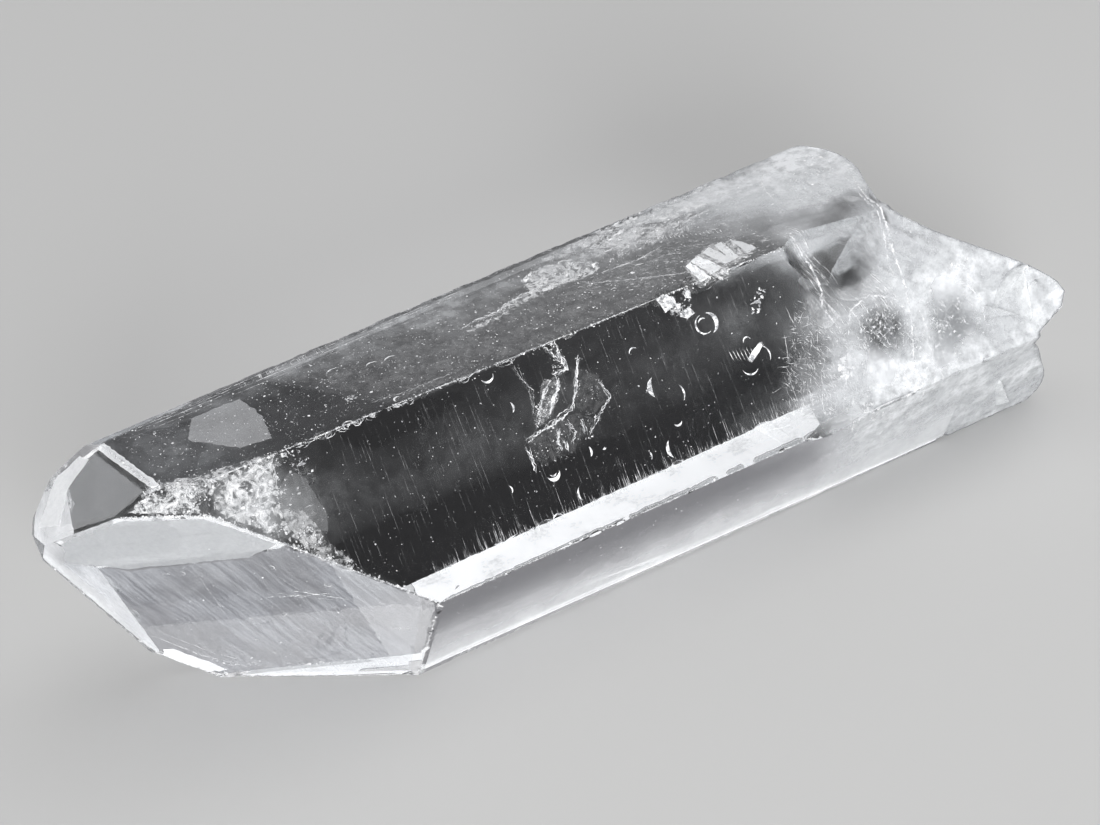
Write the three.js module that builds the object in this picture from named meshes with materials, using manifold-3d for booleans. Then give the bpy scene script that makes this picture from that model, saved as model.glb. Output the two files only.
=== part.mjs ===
// A clear quartz point, lying on one face of its six-sided prism. Millimetres, +Z up.
//
// The crystal is laid out about its c axis, which is the X axis: the point is towards -X and the
// broken root towards +X. Directions round the c axis are degrees from +Y towards +Z. Each prism
// face carries one face of the six-sided point, at the angle that the quartz lattice fixes.
import * as THREE from 'three';
import * as BufferGeometryUtils from 'three/addons/utils/BufferGeometryUtils.js';
import Module from 'manifold-3d';

const wasm = await Module();
wasm.setup();

const DEGREES = Math.PI / 180;

// Angle from a prism face's outward direction to that of the point's face above it.
const POINT_ANGLE = 38.21;

// The uncut blank that the faces are cut from.
const BLANK = { length: 80, width: 30, centre: 2 };

// Side of the block that removes everything beyond a face.
const BLOCK = 120;

// Prism faces: direction, distance from the c axis at X = 0, and how far each leans to the point.
const PRISM = {
  top: { around: 90, distance: 8.34, lean: -0.46 },
  backHigh: { around: 30, distance: 8.6, lean: 0.51 },
  backLow: { around: -30, distance: 7.0, lean: 0 },
  base: { around: -90, distance: 7.5, lean: 0 },
  frontLow: { around: -150, distance: 8.41, lean: 0.79 },
  frontHigh: { around: 150, distance: 7.49, lean: 0.76 },
};

// Faces of the point: distance of each from the origin, and how far it is out of its true angle.
const POINT = {
  top: { distance: 18.93, error: 0.59 },
  backHigh: { distance: 20.2, error: 0 },
  backLow: { distance: 16.8, error: 2.12 },
  base: { distance: 15.77, error: 0 },
  frontLow: { distance: 11.25, error: -0.12 },
  frontHigh: { distance: 16.72, error: 0 },
};

// Narrow growth ledges along the edge of the top face, which run out towards the root.
const LEDGES = [
  { around: 72, distance: 9.43, lean: 0.36 },
  { around: 48, distance: 9.48, lean: 0.3 },
];

// The tip is worn off square to the c axis.
const WORN_TIP = 24.35;

// Broken root: how far along X its rim stands, by direction round the c axis.
const ROOT_RIM = [
  [0, 29.4], [22, 28.7], [40, 28.1], [54, 27.9], [64, 28.8], [78, 29.0], [90, 28.5], [105, 27.6],
  [118, 27.1], [129, 28.7], [141, 30.8], [153, 33.0], [166, 35.1], [174, 36.0], [179, 35.8],
  [185, 33.3], [195, 33.9], [206, 34.7], [217, 35.5], [226, 35.6], [231, 35.1], [250, 33.6],
  [275, 33.0], [300, 31.6], [325, 31.4], [345, 30.0],
];

// Inside its rim the root slopes, and carries shell-shaped scars: where each is, how deep and wide.
const ROOT_SLOPE = { x: 31.5, byY: -0.3, byZ: -0.3 };
const ROOT_RIM_BAND = { inner: 5.2, outer: 7.6 };
const ROOT_SCARS = [
  { y: 4.6, z: 2.6, depth: 1.7, radius: 5.4 },
  { y: 3.4, z: -4.4, depth: 1.3, radius: 4.6 },
  { y: -3.6, z: -3.2, depth: 1.6, radius: 4.4 },
  { y: -2.2, z: 3.4, depth: 1.1, radius: 4.2 },
  { y: 0.4, z: -0.6, depth: 0.7, radius: 3.2 },
];
const SCAR_RIPPLE = { depth: 0.1, spacing: 1.6 };

// Grid of the root's surface.
const ROOT_GRID = { radius: 12, rings: 18, sides: 84, end: 45 };

// Large shell-shaped bites: where each is along X, and on which edge, or how far round a face from
// its middle line; the direction it opens to, its radius and depth, and its length over its width.
const BITES = [
  { face: 'frontHigh', x: 22.3, aside: -3.7, around: 140, radius: 5.2, depth: 0.72, long: 1, detail: 6 },
  { face: 'frontHigh', x: 24.0, aside: -2.1, around: 146, radius: 4.4, depth: 0.6, long: 1, detail: 5 },
  { face: 'frontHigh', x: 21.0, aside: -1.9, around: 154, radius: 4.4, depth: 0.24, long: 1, detail: 4 },
  { face: 'frontHigh', x: 22.9, aside: 1.7, around: 151, radius: 6.0, depth: 0.28, long: 1, detail: 5 },
  { face: 'frontHigh', x: 22.2, aside: 3.0, around: 154, radius: 4.2, depth: 0.2, long: 1.2, detail: 3 },
  { face: 'frontHigh', x: 28.6, aside: 2.2, around: 149, radius: 5.4, depth: 0.24, long: 1.2, detail: 4 },
  { face: 'frontHigh', x: 27.0, aside: 3.5, around: 156, radius: 3.6, depth: 0.17, long: 1.3, detail: 3 },
  { edge: ['frontHigh', 'frontLow'], x: 18.7, around: 184, radius: 2.6, depth: 0.4, long: 1.8, detail: 3 },
  { edge: ['top', 'frontHigh'], x: 14.2, around: 112, radius: 1.6, depth: 0.5, long: 1.4, detail: 2 },
  { edge: ['top', 'frontHigh'], x: 11.6, around: 132, radius: 1.1, depth: 0.34, long: 1.2, detail: 1 },
  { edge: ['backHigh', 'backLow'], x: 20.5, around: 6, radius: 5, depth: 0.7, long: 1.3, detail: 4 },
];

// Flaky spall along the far edge of the top face.
const SPALL = {
  edge: ['top', 'backHigh'], from: 8.6, to: 22.4, count: 11, around: 74, radius: 2.4, depth: 0.24,
};

// Rough, pitted growth where the front high faces of the point and the prism meet.
const PITS = {
  face: 'frontHigh', from: -17.4, to: -11.8, low: -4.3, high: 0.4, count: 16, radius: 0.9, depth: 0.1,
};

// Small knocks along the edges: how many, and how large the largest is.
const KNOCKS = [
  { edge: ['top', 'frontHigh'], from: -15.5, to: 21, count: 13, size: 0.55 },
  { edge: ['frontHigh', 'frontLow'], from: -6, to: 30, count: 8, size: 0.5 },
  { edge: ['frontLow', 'base'], from: -7, to: 32, count: 9, size: 0.55 },
  { edge: ['base', 'backLow'], from: -13, to: 30, count: 7, size: 0.55 },
  { edge: ['backLow', 'backHigh'], from: -14, to: 27, count: 7, size: 0.6 },
  { edge: ['top', 'backHigh'], from: -17, to: 8, count: 4, size: 0.45 },
];
const KNOCK_SINK = 0.42;
const KNOCK_JITTER = 0.8;

// Broken quartz is lumpy: how much a bite's radius changes, and how quickly round the bite.
const LUMP = { share: 0.03, turns: 7 };

// A seeded stream of numbers from 0 to 1, so that the crystal is the same each time.
const SEED = 41;
THREE.MathUtils.seededRandom(SEED);
const chance = () => THREE.MathUtils.seededRandom();

// Direction that leaves the c axis at an angle round it, leaning by another angle to the point.
function direction(around, lean) {
  const out = Math.cos(lean * DEGREES);
  return new THREE.Vector3(
    -Math.sin(lean * DEGREES),
    out * Math.cos(around * DEGREES),
    out * Math.sin(around * DEGREES),
  );
}

// A closed three.js geometry as a solid that can be cut.
function solid(geometry) {
  const bare = geometry.clone();
  bare.deleteAttribute('normal');
  bare.deleteAttribute('uv');
  const merged = BufferGeometryUtils.mergeVertices(bare);
  return new wasm.Manifold(new wasm.Mesh({
    numProp: 3,
    vertProperties: new Float32Array(merged.attributes.position.array),
    triVerts: new Uint32Array(merged.index.array),
  }));
}

// The block that lies wholly beyond a plane.
function beyond(outward, distance) {
  const block = new THREE.BoxGeometry(BLOCK, BLOCK, BLOCK);
  block.translate(0, 0, distance + BLOCK / 2);
  const turn = new THREE.Quaternion().setFromUnitVectors(new THREE.Vector3(0, 0, 1), outward);
  block.applyQuaternion(turn);
  return solid(block);
}

// Where a prism face, or the edge between two of them, lies at a place along the c axis.
function facePlane(name) {
  const { around, distance, lean } = PRISM[name];
  return new THREE.Plane(direction(around, lean), -distance);
}

function onEdge([first, second], x) {
  const a = facePlane(first);
  const b = facePlane(second);
  const rightA = -a.constant - a.normal.x * x;
  const rightB = -b.constant - b.normal.x * x;
  const area = a.normal.y * b.normal.z - a.normal.z * b.normal.y;
  return new THREE.Vector3(
    x,
    (rightA * b.normal.z - rightB * a.normal.z) / area,
    (a.normal.y * rightB - b.normal.y * rightA) / area,
  );
}

function onFace(name, x, aside) {
  const { around } = PRISM[name];
  const plane = facePlane(name);
  const side = direction(around + 90, 0);
  const start = new THREE.Vector3(x, 0, 0).addScaledVector(side, aside);
  const out = direction(around, 0);
  return start.addScaledVector(out, -plane.distanceToPoint(start) / plane.normal.dot(out));
}

// A lumpy, faceted ball.
function lumpyBall(radius, detail) {
  const ball = new THREE.IcosahedronGeometry(radius, detail);
  const shift = new THREE.Vector3(chance(), chance(), chance()).multiplyScalar(2 * Math.PI);
  const corner = new THREE.Vector3();
  const place = ball.attributes.position;
  for (let i = 0; i < place.count; i++) {
    corner.fromBufferAttribute(place, i);
    const wave = corner.clone().multiplyScalar(LUMP.turns / radius).add(shift);
    corner.multiplyScalar(1 + LUMP.share * (Math.sin(wave.x) + Math.sin(wave.y) * Math.sin(wave.z)));
    place.setXYZ(i, corner.x, corner.y, corner.z);
  }
  return ball;
}

// A bite whose deepest point is a given depth inside the surface.
function bite(place, outward, radius, depth, long, detail) {
  const ball = lumpyBall(radius, detail);
  ball.scale(long, 1, 1);
  const centre = place.clone().addScaledVector(outward, radius - depth);
  ball.translate(centre.x, centre.y, centre.z);
  return solid(ball);
}

function cutBites(crystal) {
  let left = crystal;
  for (const { edge, face, x, aside, around, radius, depth, long, detail } of BITES) {
    const place = edge ? onEdge(edge, x) : onFace(face, x, aside);
    left = left.subtract(bite(place, direction(around, 0), radius, depth, long, detail));
  }
  return left;
}

function cutSpall(crystal) {
  let left = crystal;
  for (let i = 0; i < SPALL.count; i++) {
    const x = THREE.MathUtils.lerp(SPALL.from, SPALL.to, i / (SPALL.count - 1));
    const turned = SPALL.around + (chance() - 0.5) * 24;
    const size = SPALL.radius * (0.6 + 0.6 * chance());
    const depth = SPALL.depth * (0.55 + 0.6 * chance());
    const place = onEdge(SPALL.edge, x + chance() - 0.5);
    left = left.subtract(bite(place, direction(turned, 0), size, depth, 1.3, 1));
  }
  return left;
}

function cutPits(crystal) {
  const { around } = PRISM[PITS.face];
  let left = crystal;
  for (let i = 0; i < PITS.count; i++) {
    const x = THREE.MathUtils.lerp(PITS.from, PITS.to, chance());
    const aside = THREE.MathUtils.lerp(PITS.low, PITS.high, chance());
    const outward = direction(around + (chance() - 0.5) * 16, (chance() - 0.5) * 16);
    const radius = PITS.radius * (0.6 + 0.8 * chance());
    const place = onFace(PITS.face, x, aside);
    left = left.subtract(bite(place, outward, radius, PITS.depth * (0.6 + chance()), 1.2, 1));
  }
  return left;
}

function cutKnocks(crystal) {
  let left = crystal;
  for (const { edge, from, to, count, size } of KNOCKS) {
    const middle = (PRISM[edge[0]].around + PRISM[edge[1]].around) / 2;
    const across = Math.abs(PRISM[edge[0]].around - PRISM[edge[1]].around) > 180;
    const around = across ? middle + 180 : middle;
    for (let i = 0; i < count; i++) {
      const share = (i + 0.5 + KNOCK_JITTER * (chance() - 0.5)) / count;
      const radius = size * (0.35 + 0.65 * chance() ** 2);
      const turned = around + (chance() - 0.5) * 50;
      const place = onEdge(edge, THREE.MathUtils.lerp(from, to, share));
      const long = 1 + 1.2 * chance();
      left = left.subtract(bite(place, direction(turned, 0), radius, radius * KNOCK_SINK, long, 1));
    }
  }
  return left;
}

// How far along X the broken root stands at a place in its cross-section.
const rimPoints = [...ROOT_RIM, [ROOT_RIM[0][0] + 360, ROOT_RIM[0][1]]];
const rimCurve = new THREE.CubicInterpolant(
  rimPoints.map(([around]) => around),
  rimPoints.map(([, x]) => x),
  1,
);

function rootSurface(y, z) {
  const around = THREE.MathUtils.euclideanModulo(Math.atan2(z, y) / DEGREES, 360);
  const slope = ROOT_SLOPE.x + ROOT_SLOPE.byY * y + ROOT_SLOPE.byZ * z;
  const scars = ROOT_SCARS.map((scar) => {
    const away = Math.hypot(y - scar.y, z - scar.z);
    const ripple = SCAR_RIPPLE.depth * Math.sin((away / SCAR_RIPPLE.spacing) * 2 * Math.PI);
    return scar.depth * (1 - (away / scar.radius) ** 2) + ripple;
  });
  const inside = slope - Math.max(0, ...scars);
  const band = THREE.MathUtils.smoothstep(Math.hypot(y, z), ROOT_RIM_BAND.inner, ROOT_RIM_BAND.outer);
  return THREE.MathUtils.lerp(inside, rimCurve.evaluate(around)[0], band);
}

// Everything beyond the broken root.
function beyondRoot() {
  const { radius, rings, sides, end } = ROOT_GRID;
  const profile = [];
  for (let i = 0; i <= rings; i++) {
    profile.push(new THREE.Vector2((radius * i) / rings, 0));
  }
  profile.push(new THREE.Vector2(radius, end));
  profile.push(new THREE.Vector2(0, end));
  const geometry = new THREE.LatheGeometry(profile, sides);
  geometry.rotateZ(-Math.PI / 2);
  const place = geometry.attributes.position;
  for (let i = 0; i < place.count; i++) {
    if (place.getX(i) < end / 2) {
      place.setX(i, rootSurface(place.getY(i), place.getZ(i)));
    }
  }
  return solid(geometry);
}

function cutFaces() {
  const blank = new THREE.BoxGeometry(BLANK.length, BLANK.width, BLANK.width);
  blank.translate(BLANK.centre, 0, 0);
  let left = solid(blank);
  for (const [name, { around, distance, lean }] of Object.entries(PRISM)) {
    const { distance: reach, error } = POINT[name];
    left = left.subtract(beyond(direction(around, lean), distance));
    left = left.subtract(beyond(direction(around, POINT_ANGLE + error), reach));
  }
  for (const { around, distance, lean } of LEDGES) {
    left = left.subtract(beyond(direction(around, lean), distance));
  }
  return left.subtract(beyond(new THREE.Vector3(-1, 0, 0), WORN_TIP));
}

// The crystal, moved so that the middle of its box's underside is the origin.
function crystalGeometry() {
  const whole = cutFaces().subtract(beyondRoot());
  const mesh = cutKnocks(cutPits(cutSpall(cutBites(whole)))).getMesh();
  const geometry = new THREE.BufferGeometry();
  geometry.setAttribute('position', new THREE.BufferAttribute(new Float32Array(mesh.vertProperties), 3));
  geometry.setIndex(new THREE.BufferAttribute(new Uint32Array(mesh.triVerts), 1));
  geometry.computeBoundingBox();
  const { min, max } = geometry.boundingBox;
  geometry.translate(-(min.x + max.x) / 2, -(min.y + max.y) / 2, -min.z);
  geometry.computeVertexNormals();
  return geometry;
}

const quartz = new THREE.MeshStandardMaterial({
  name: 'clear_quartz',
  color: 0xe9edf0,
  roughness: 0.06,
  metalness: 0,
  transparent: true,
  opacity: 0.45,
});

const crystal = new THREE.Mesh(crystalGeometry(), quartz);
crystal.name = 'quartz_point';

const model = new THREE.Group();
model.add(crystal);

export default model;
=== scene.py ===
# A clear quartz point, lying on one of its long faces on a plain pale floor.
#
# The crystal's own layout, used for every place below, is in millimetres about its c axis: X runs
# from the point (-X) to the broken root (+X), and directions round the axis are degrees from +Y
# towards +Z. A place on a face is (x, aside, depth): x along the axis, aside across the face towards
# the direction 90 degrees further round, and depth below the surface.
import math
import bmesh
import bpy
import numpy as np
from mathutils import Matrix, Vector
from mathutils.bvhtree import BVHTree
from mathutils.geometry import delaunay_2d_cdt


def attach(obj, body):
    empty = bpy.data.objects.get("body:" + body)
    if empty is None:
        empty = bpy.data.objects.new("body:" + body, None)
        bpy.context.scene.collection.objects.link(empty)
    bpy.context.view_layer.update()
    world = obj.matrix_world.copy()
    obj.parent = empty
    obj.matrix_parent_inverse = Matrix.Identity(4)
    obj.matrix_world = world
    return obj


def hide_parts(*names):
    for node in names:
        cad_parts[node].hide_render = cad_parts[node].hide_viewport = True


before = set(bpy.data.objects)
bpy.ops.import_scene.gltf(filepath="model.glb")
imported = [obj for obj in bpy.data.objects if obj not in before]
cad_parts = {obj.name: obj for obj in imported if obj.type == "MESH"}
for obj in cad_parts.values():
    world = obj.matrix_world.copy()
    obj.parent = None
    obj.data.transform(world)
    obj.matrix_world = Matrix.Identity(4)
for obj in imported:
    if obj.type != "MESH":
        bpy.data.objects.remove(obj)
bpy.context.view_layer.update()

scene = bpy.context.scene
MM = 0.001  # one millimetre in metres

# Where the c axis's own zero lies in the shared frame.
ZERO = np.array((-5.8553, 0.2729, 7.5))

# The camera, in the shared frame: place in mm, directions, and field of view as a lens on a sensor.
CAMERA_PLACE = Vector((-97.74, -168.04, 122.23))
CAMERA_FORWARD = Vector((0.43397, 0.74730, -0.50319))
CAMERA_RIGHT = Vector((0.82509, -0.55396, -0.11111))
CAMERA_LENS = 130.91
CAMERA_SENSOR = 36.0

# The studio's soft tent: how bright it is high behind the crystal, low behind it and elsewhere, how
# much bluer it is low behind, and the share of its light that is left at its foot.
TENT_HIGH = 1.35
TENT_LOW = 0.12
TENT_REST = 0.11
TENT_LOW_BLUE = 0.13
TENT_FOOT = 0.4
TENT_BACK_DEGREES = 12
# Where its parts begin and where they are full, by how far round to the back and by height.
TENT_BEHIND = (0.55, 0.9)
TENT_LOW_BEHIND = (-0.2, 0.5)
TENT_OVERHEAD = (0.7, 0.92)
TENT_UP = (0.2, 0.44)
TENT_FOOT_HEIGHT = (0.0, 0.16)

FLOOR_SIDE = 3.0
FLOOR_DROP = 0.00002
FLOOR_COLOUR = (0.53, 0.53, 0.525, 1.0)
# Painted shade: the floor's colour in reflections, and near black where it is seen through the glass.
FLOOR_PAINTED_DARK_IN_REFLECTION = (0.22, 0.22, 0.22, 1.0)
FLOOR_PAINTED_DARK_THROUGH_GLASS = (0.009, 0.009, 0.0093, 1.0)
BACKDROP_BRIGHTNESS = 0.5
FRONT_FILL = {"around": 246, "up": 13, "away": 0.8, "side": 0.3, "watts": 10.0}

# Quartz: angle of the point's faces to the prism's, and refractive index.
POINT_ANGLE = 38.21
QUARTZ_IOR = 1.544

# Prism faces and point faces: direction round the axis, distance from it, and tilt to the point.
FACES = {
    "top": (90, 8.34, -0.46),
    "back_high": (30, 8.6, 0.51),
    "back_low": (-30, 7.0, 0.0),
    "base": (-90, 7.5, 0.0),
    "front_low": (-150, 8.41, 0.79),
    "front_high": (150, 7.49, 0.76),
    "ledge_near": (72, 9.43, 0.36),
    "ledge_far": (48, 9.48, 0.3),
    "point_top": (90, 18.93, POINT_ANGLE + 0.59),
    "point_back_high": (30, 20.2, POINT_ANGLE),
    "point_back_low": (-30, 16.8, POINT_ANGLE + 2.12),
    "point_base": (-90, 15.77, POINT_ANGLE),
    "point_front_low": (-150, 11.25, POINT_ANGLE - 0.12),
    "point_front_high": (150, 16.72, POINT_ANGLE),
}


def round_axis(degrees):
    """Unit direction round the c axis."""
    return np.array((0.0, math.cos(math.radians(degrees)), math.sin(math.radians(degrees))))


def face_normal(name):
    """Outward direction of a face."""
    around, _, tilt = FACES[name]
    lean = math.radians(tilt)
    return round_axis(around) * math.cos(lean) - np.array((math.sin(lean), 0, 0))


def on_face(name, x, aside, depth=0.0):
    """A place on a face, or below it, in mm about the c axis."""
    around, distance, tilt = FACES[name]
    lean = math.radians(tilt)
    radial = (distance - depth + math.sin(lean) * x) / math.cos(lean)
    return np.array((x, 0, 0)) + round_axis(around) * radial + round_axis(around + 90) * aside


def on_edge(first, second, x):
    """The place at x on the edge between two faces, in mm about the c axis."""
    sides = np.array([face_normal(first), face_normal(second), (1.0, 0, 0)])
    return np.linalg.solve(sides, (FACES[first][1], FACES[second][1], x))


def across_edge(first, second, aside):
    """As on_edge, for two faces one above the other, whose edge runs across the axis."""
    across = round_axis(FACES[first][0] + 90)
    sides = np.array([face_normal(first), face_normal(second), across])
    return np.linalg.solve(sides, (FACES[first][1], FACES[second][1], aside))


def make_camera():
    """The camera, towards the point's side and from above."""
    up = CAMERA_RIGHT.cross(CAMERA_FORWARD).normalized()
    data = bpy.data.cameras.new("camera")
    data.lens = CAMERA_LENS
    data.sensor_width = CAMERA_SENSOR
    data.clip_start = 0.01
    data.clip_end = 20.0
    camera = bpy.data.objects.new("camera", data)
    turn = Matrix((CAMERA_RIGHT.normalized(), up, -CAMERA_FORWARD.normalized())).transposed()
    camera.matrix_world = Matrix.Translation(CAMERA_PLACE * MM) @ turn.to_4x4()
    scene.collection.objects.link(camera)
    scene.camera = camera


make_camera()


# ---------------------------------------------------------------- small helpers for node trees

class Tree:
    """A node tree with short ways to add and join its nodes."""

    def __init__(self, tree):
        self.tree = tree
        tree.nodes.clear()

    def add(self, kind, values=(), **settings):
        node = self.tree.nodes.new(kind)
        for key, value in settings.items():
            setattr(node, key, value)
        for key, value in dict(values).items():
            self.put(node.inputs[key], value)
        return node

    def put(self, socket, value):
        if isinstance(value, bpy.types.NodeSocket):
            self.tree.links.new(value, socket)
        else:
            socket.default_value = value

    def maths(self, operation, *terms):
        node = self.add("ShaderNodeMath", operation=operation)
        for socket, term in zip(node.inputs, terms):
            self.put(socket, term)
        return node.outputs[0]

    def ramp(self, value, low, high, bottom=0.0, top=1.0):
        """Smooth step of value from low to high."""
        ends = {"Value": value, "From Min": low, "From Max": high, "To Min": bottom, "To Max": top}
        node = self.add("ShaderNodeMapRange", ends, interpolation_type="SMOOTHSTEP")
        return node.outputs["Result"]

    def blend(self, factor, first, second):
        """Mix of two colours."""
        node = self.add("ShaderNodeMix", data_type="RGBA")
        for key, value in zip(("Factor", "A", "B"), (factor, first, second)):
            sockets = [s for s in node.inputs if s.name == key and s.enabled]
            self.put(sockets[0], value)
        return [s for s in node.outputs if s.enabled][0]

    def noise(self, place, scale, **settings):
        """A soft random pattern over space."""
        values = {"Vector": place, "Scale": scale, **settings}
        return self.add("ShaderNodeTexNoise", values).outputs["Fac"]

    def end_principled(self, values):
        """Ends the material at a Principled surface of these values."""
        surface = self.add("ShaderNodeBsdfPrincipled", values)
        self.add("ShaderNodeOutputMaterial", {"Surface": surface.outputs[0]})


def new_material(name):
    material = bpy.data.materials.new(name)
    material.use_nodes = True
    return material, Tree(material.node_tree)


def inner_material(name):
    """A new material for what lies inside, with two sockets: the place, and how milky it is there."""
    material, tree = new_material(name)
    place = tree.add("ShaderNodeTexCoord").outputs["Object"]
    milk = tree.add("ShaderNodeAttribute", attribute_name="milk").outputs["Fac"]
    return material, tree, place, milk


def new_object(name, mesh):
    made = bpy.data.objects.new(name, mesh)
    scene.collection.objects.link(made)
    return made


# ---------------------------------------------------------------- studio

def make_tent():
    """Soft light from a large white tent, brightest behind the crystal and overhead."""
    world = bpy.data.worlds.new("light_tent")
    scene.world = world
    world.use_nodes = True
    tree = Tree(world.node_tree)
    way = tree.add("ShaderNodeTexCoord").outputs["Generated"]
    split = tree.add("ShaderNodeSeparateXYZ", {0: way})
    x, y, z = split.outputs
    east = tree.maths("MULTIPLY", x, math.cos(math.radians(TENT_BACK_DEGREES)))
    north = tree.maths("MULTIPLY", y, math.sin(math.radians(TENT_BACK_DEGREES)))
    level = tree.maths("SQRT", tree.maths("SUBTRACT", 1.0001, tree.maths("MULTIPLY", z, z)))
    backwards = tree.maths("DIVIDE", tree.maths("ADD", east, north), level)
    behind = tree.ramp(backwards, *TENT_BEHIND)
    low_behind = tree.ramp(backwards, *TENT_LOW_BEHIND)
    overhead = tree.ramp(z, *TENT_OVERHEAD)
    high = tree.ramp(z, *TENT_UP)
    bright = tree.maths("MULTIPLY", high, tree.maths("MAXIMUM", behind, overhead))
    bright = tree.maths("MULTIPLY", bright, TENT_HIGH)
    dim = tree.maths("MULTIPLY", low_behind, TENT_LOW)
    light = tree.maths("ADD", tree.maths("MAXIMUM", bright, dim), TENT_REST)
    light = tree.maths("MULTIPLY", light, tree.ramp(z, *TENT_FOOT_HEIGHT, TENT_FOOT, 1.0))
    seen = tree.add("ShaderNodeLightPath").outputs["Is Camera Ray"]
    blue = tree.maths("ADD", light, tree.maths("MULTIPLY", dim, TENT_LOW_BLUE))
    grey = tree.add("ShaderNodeCombineColor", {0: light, 1: light, 2: blue}).outputs[0]
    backdrop = (BACKDROP_BRIGHTNESS, BACKDROP_BRIGHTNESS, BACKDROP_BRIGHTNESS, 1.0)
    colour = tree.blend(seen, grey, backdrop)
    background = tree.add("ShaderNodeBackground", {"Color": colour})
    tree.add("ShaderNodeOutputWorld", {"Surface": background.outputs[0]})


def make_floor():
    """A wide pale floor, a hair below the crystal, with painted shade: darker in reflections, and near black
    where it is seen through the glass.
    """
    side, below = FLOOR_SIDE, -FLOOR_DROP
    corners = [(-side, -side, below), (side, -side, below), (side, side, below), (-side, side, below)]
    mesh = bpy.data.meshes.new("floor")
    mesh.from_pydata(corners, [], [(0, 1, 2, 3)])
    floor = new_object("floor", mesh)
    material, tree = new_material("pale_floor")
    # Painted shade: pale for the camera and for diffuse light, darker in reflections, near black through the
    # glass.
    path = tree.add("ShaderNodeLightPath")
    plain = tree.maths("MAXIMUM", path.outputs["Is Camera Ray"], path.outputs["Is Diffuse Ray"])
    mirrored = tree.maths("SUBTRACT", path.outputs["Is Glossy Ray"], path.outputs["Is Transmission Ray"])
    painted_dark = tree.blend(tree.maths("MAXIMUM", mirrored, 0.0), FLOOR_PAINTED_DARK_THROUGH_GLASS, FLOOR_PAINTED_DARK_IN_REFLECTION)
    colour = tree.blend(plain, painted_dark, FLOOR_COLOUR)
    tree.end_principled({"Base Color": colour, "Roughness": 0.9, "Specular IOR Level": 0.1})
    mesh.materials.append(material)


def make_front_fill():
    """A soft box beside the camera, for the white parts inside the crystal. It makes no reflection."""
    data = bpy.data.lights.new("front_fill", "AREA")
    data.size = FRONT_FILL["side"]
    data.energy = FRONT_FILL["watts"]
    around, up = math.radians(FRONT_FILL["around"]), math.radians(FRONT_FILL["up"])
    way = Vector((math.cos(around) * math.cos(up), math.sin(around) * math.cos(up), math.sin(up)))
    light = bpy.data.objects.new("front_fill", data)
    turn = way.to_track_quat("Z", "Y").to_matrix().to_4x4()
    light.matrix_world = Matrix.Translation(way * FRONT_FILL["away"]) @ turn
    light.visible_glossy = False
    light.visible_transmission = False
    scene.collection.objects.link(light)


make_tent()
make_front_fill()
make_floor()
scene.view_settings.view_transform = "Standard"
scene.cycles.max_bounces = 14
scene.cycles.transmission_bounces = 14
scene.cycles.glossy_bounces = 14
scene.cycles.diffuse_bounces = 2
scene.cycles.transparent_max_bounces = 24


# ---------------------------------------------------------------- the crystal's fine mesh

GRAIN = 0.26           # mm between the points of the fine mesh
ROW_SHARE = 0.87       # of that, between its rows
ROW_JITTER = 0.16      # of that, how far a point strays
RIM_SHARE = 0.5        # of that, how far the points keep from a face's rim
FLAT_ENOUGH = 0.0006   # radians between faces that count as one plane
ON_FACE = 0.004        # mm within which a point lies on a face


def value_noise(points, size, seed):
    """Smooth random numbers from -1 to 1 over space, for an array of points in mm."""
    scaled = points / size + seed * 17.31
    cell = np.floor(scaled).astype(np.int64)
    part = scaled - cell
    part = part * part * (3 - 2 * part)
    total = np.zeros(len(points))
    for corner in range(8):
        step = np.array([corner & 1, corner >> 1 & 1, corner >> 2 & 1])
        place = (cell + step) * np.array([73856093, 19349663, 83492791])
        mixed = (place[:, 0] ^ place[:, 1] ^ place[:, 2]) + seed * 7919
        mixed = (mixed ^ mixed >> 13) * 1274126177 & 0x7FFFFFFF
        mixed = (mixed ^ mixed >> 15) * 668265263 & 0x7FFFFFFF
        share = np.prod(np.where(step, part, 1 - part), axis=1)
        total += share * ((mixed & 0xFFFF) / 32767.5 - 1)
    return total


def inside_outline(spots, outline):
    """Which spots lie inside a closed outline, both in the plane, by counting its crossings."""
    inside = np.zeros(len(spots), bool)
    for (ax, ay), (bx, by) in zip(outline, np.roll(outline, -1, axis=0)):
        if ay != by:
            spans = (spots[:, 1] < ay) != (spots[:, 1] < by)
            crossing = ax + (spots[:, 1] - ay) * (bx - ax) / (by - ay)
            inside ^= spans & (spots[:, 0] < crossing)
    return inside


def clear_of_outline(spots, outline, least):
    """Which spots are at least that far from every side of an outline."""
    clear = np.ones(len(spots), bool)
    for start, end in zip(outline, np.roll(outline, -1, axis=0)):
        side = end - start
        share = np.clip((spots - start) @ side / max(side @ side, 1e-12), 0, 1)
        clear &= np.hypot(*(spots - start - share[:, None] * side).T) > least
    return clear


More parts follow.
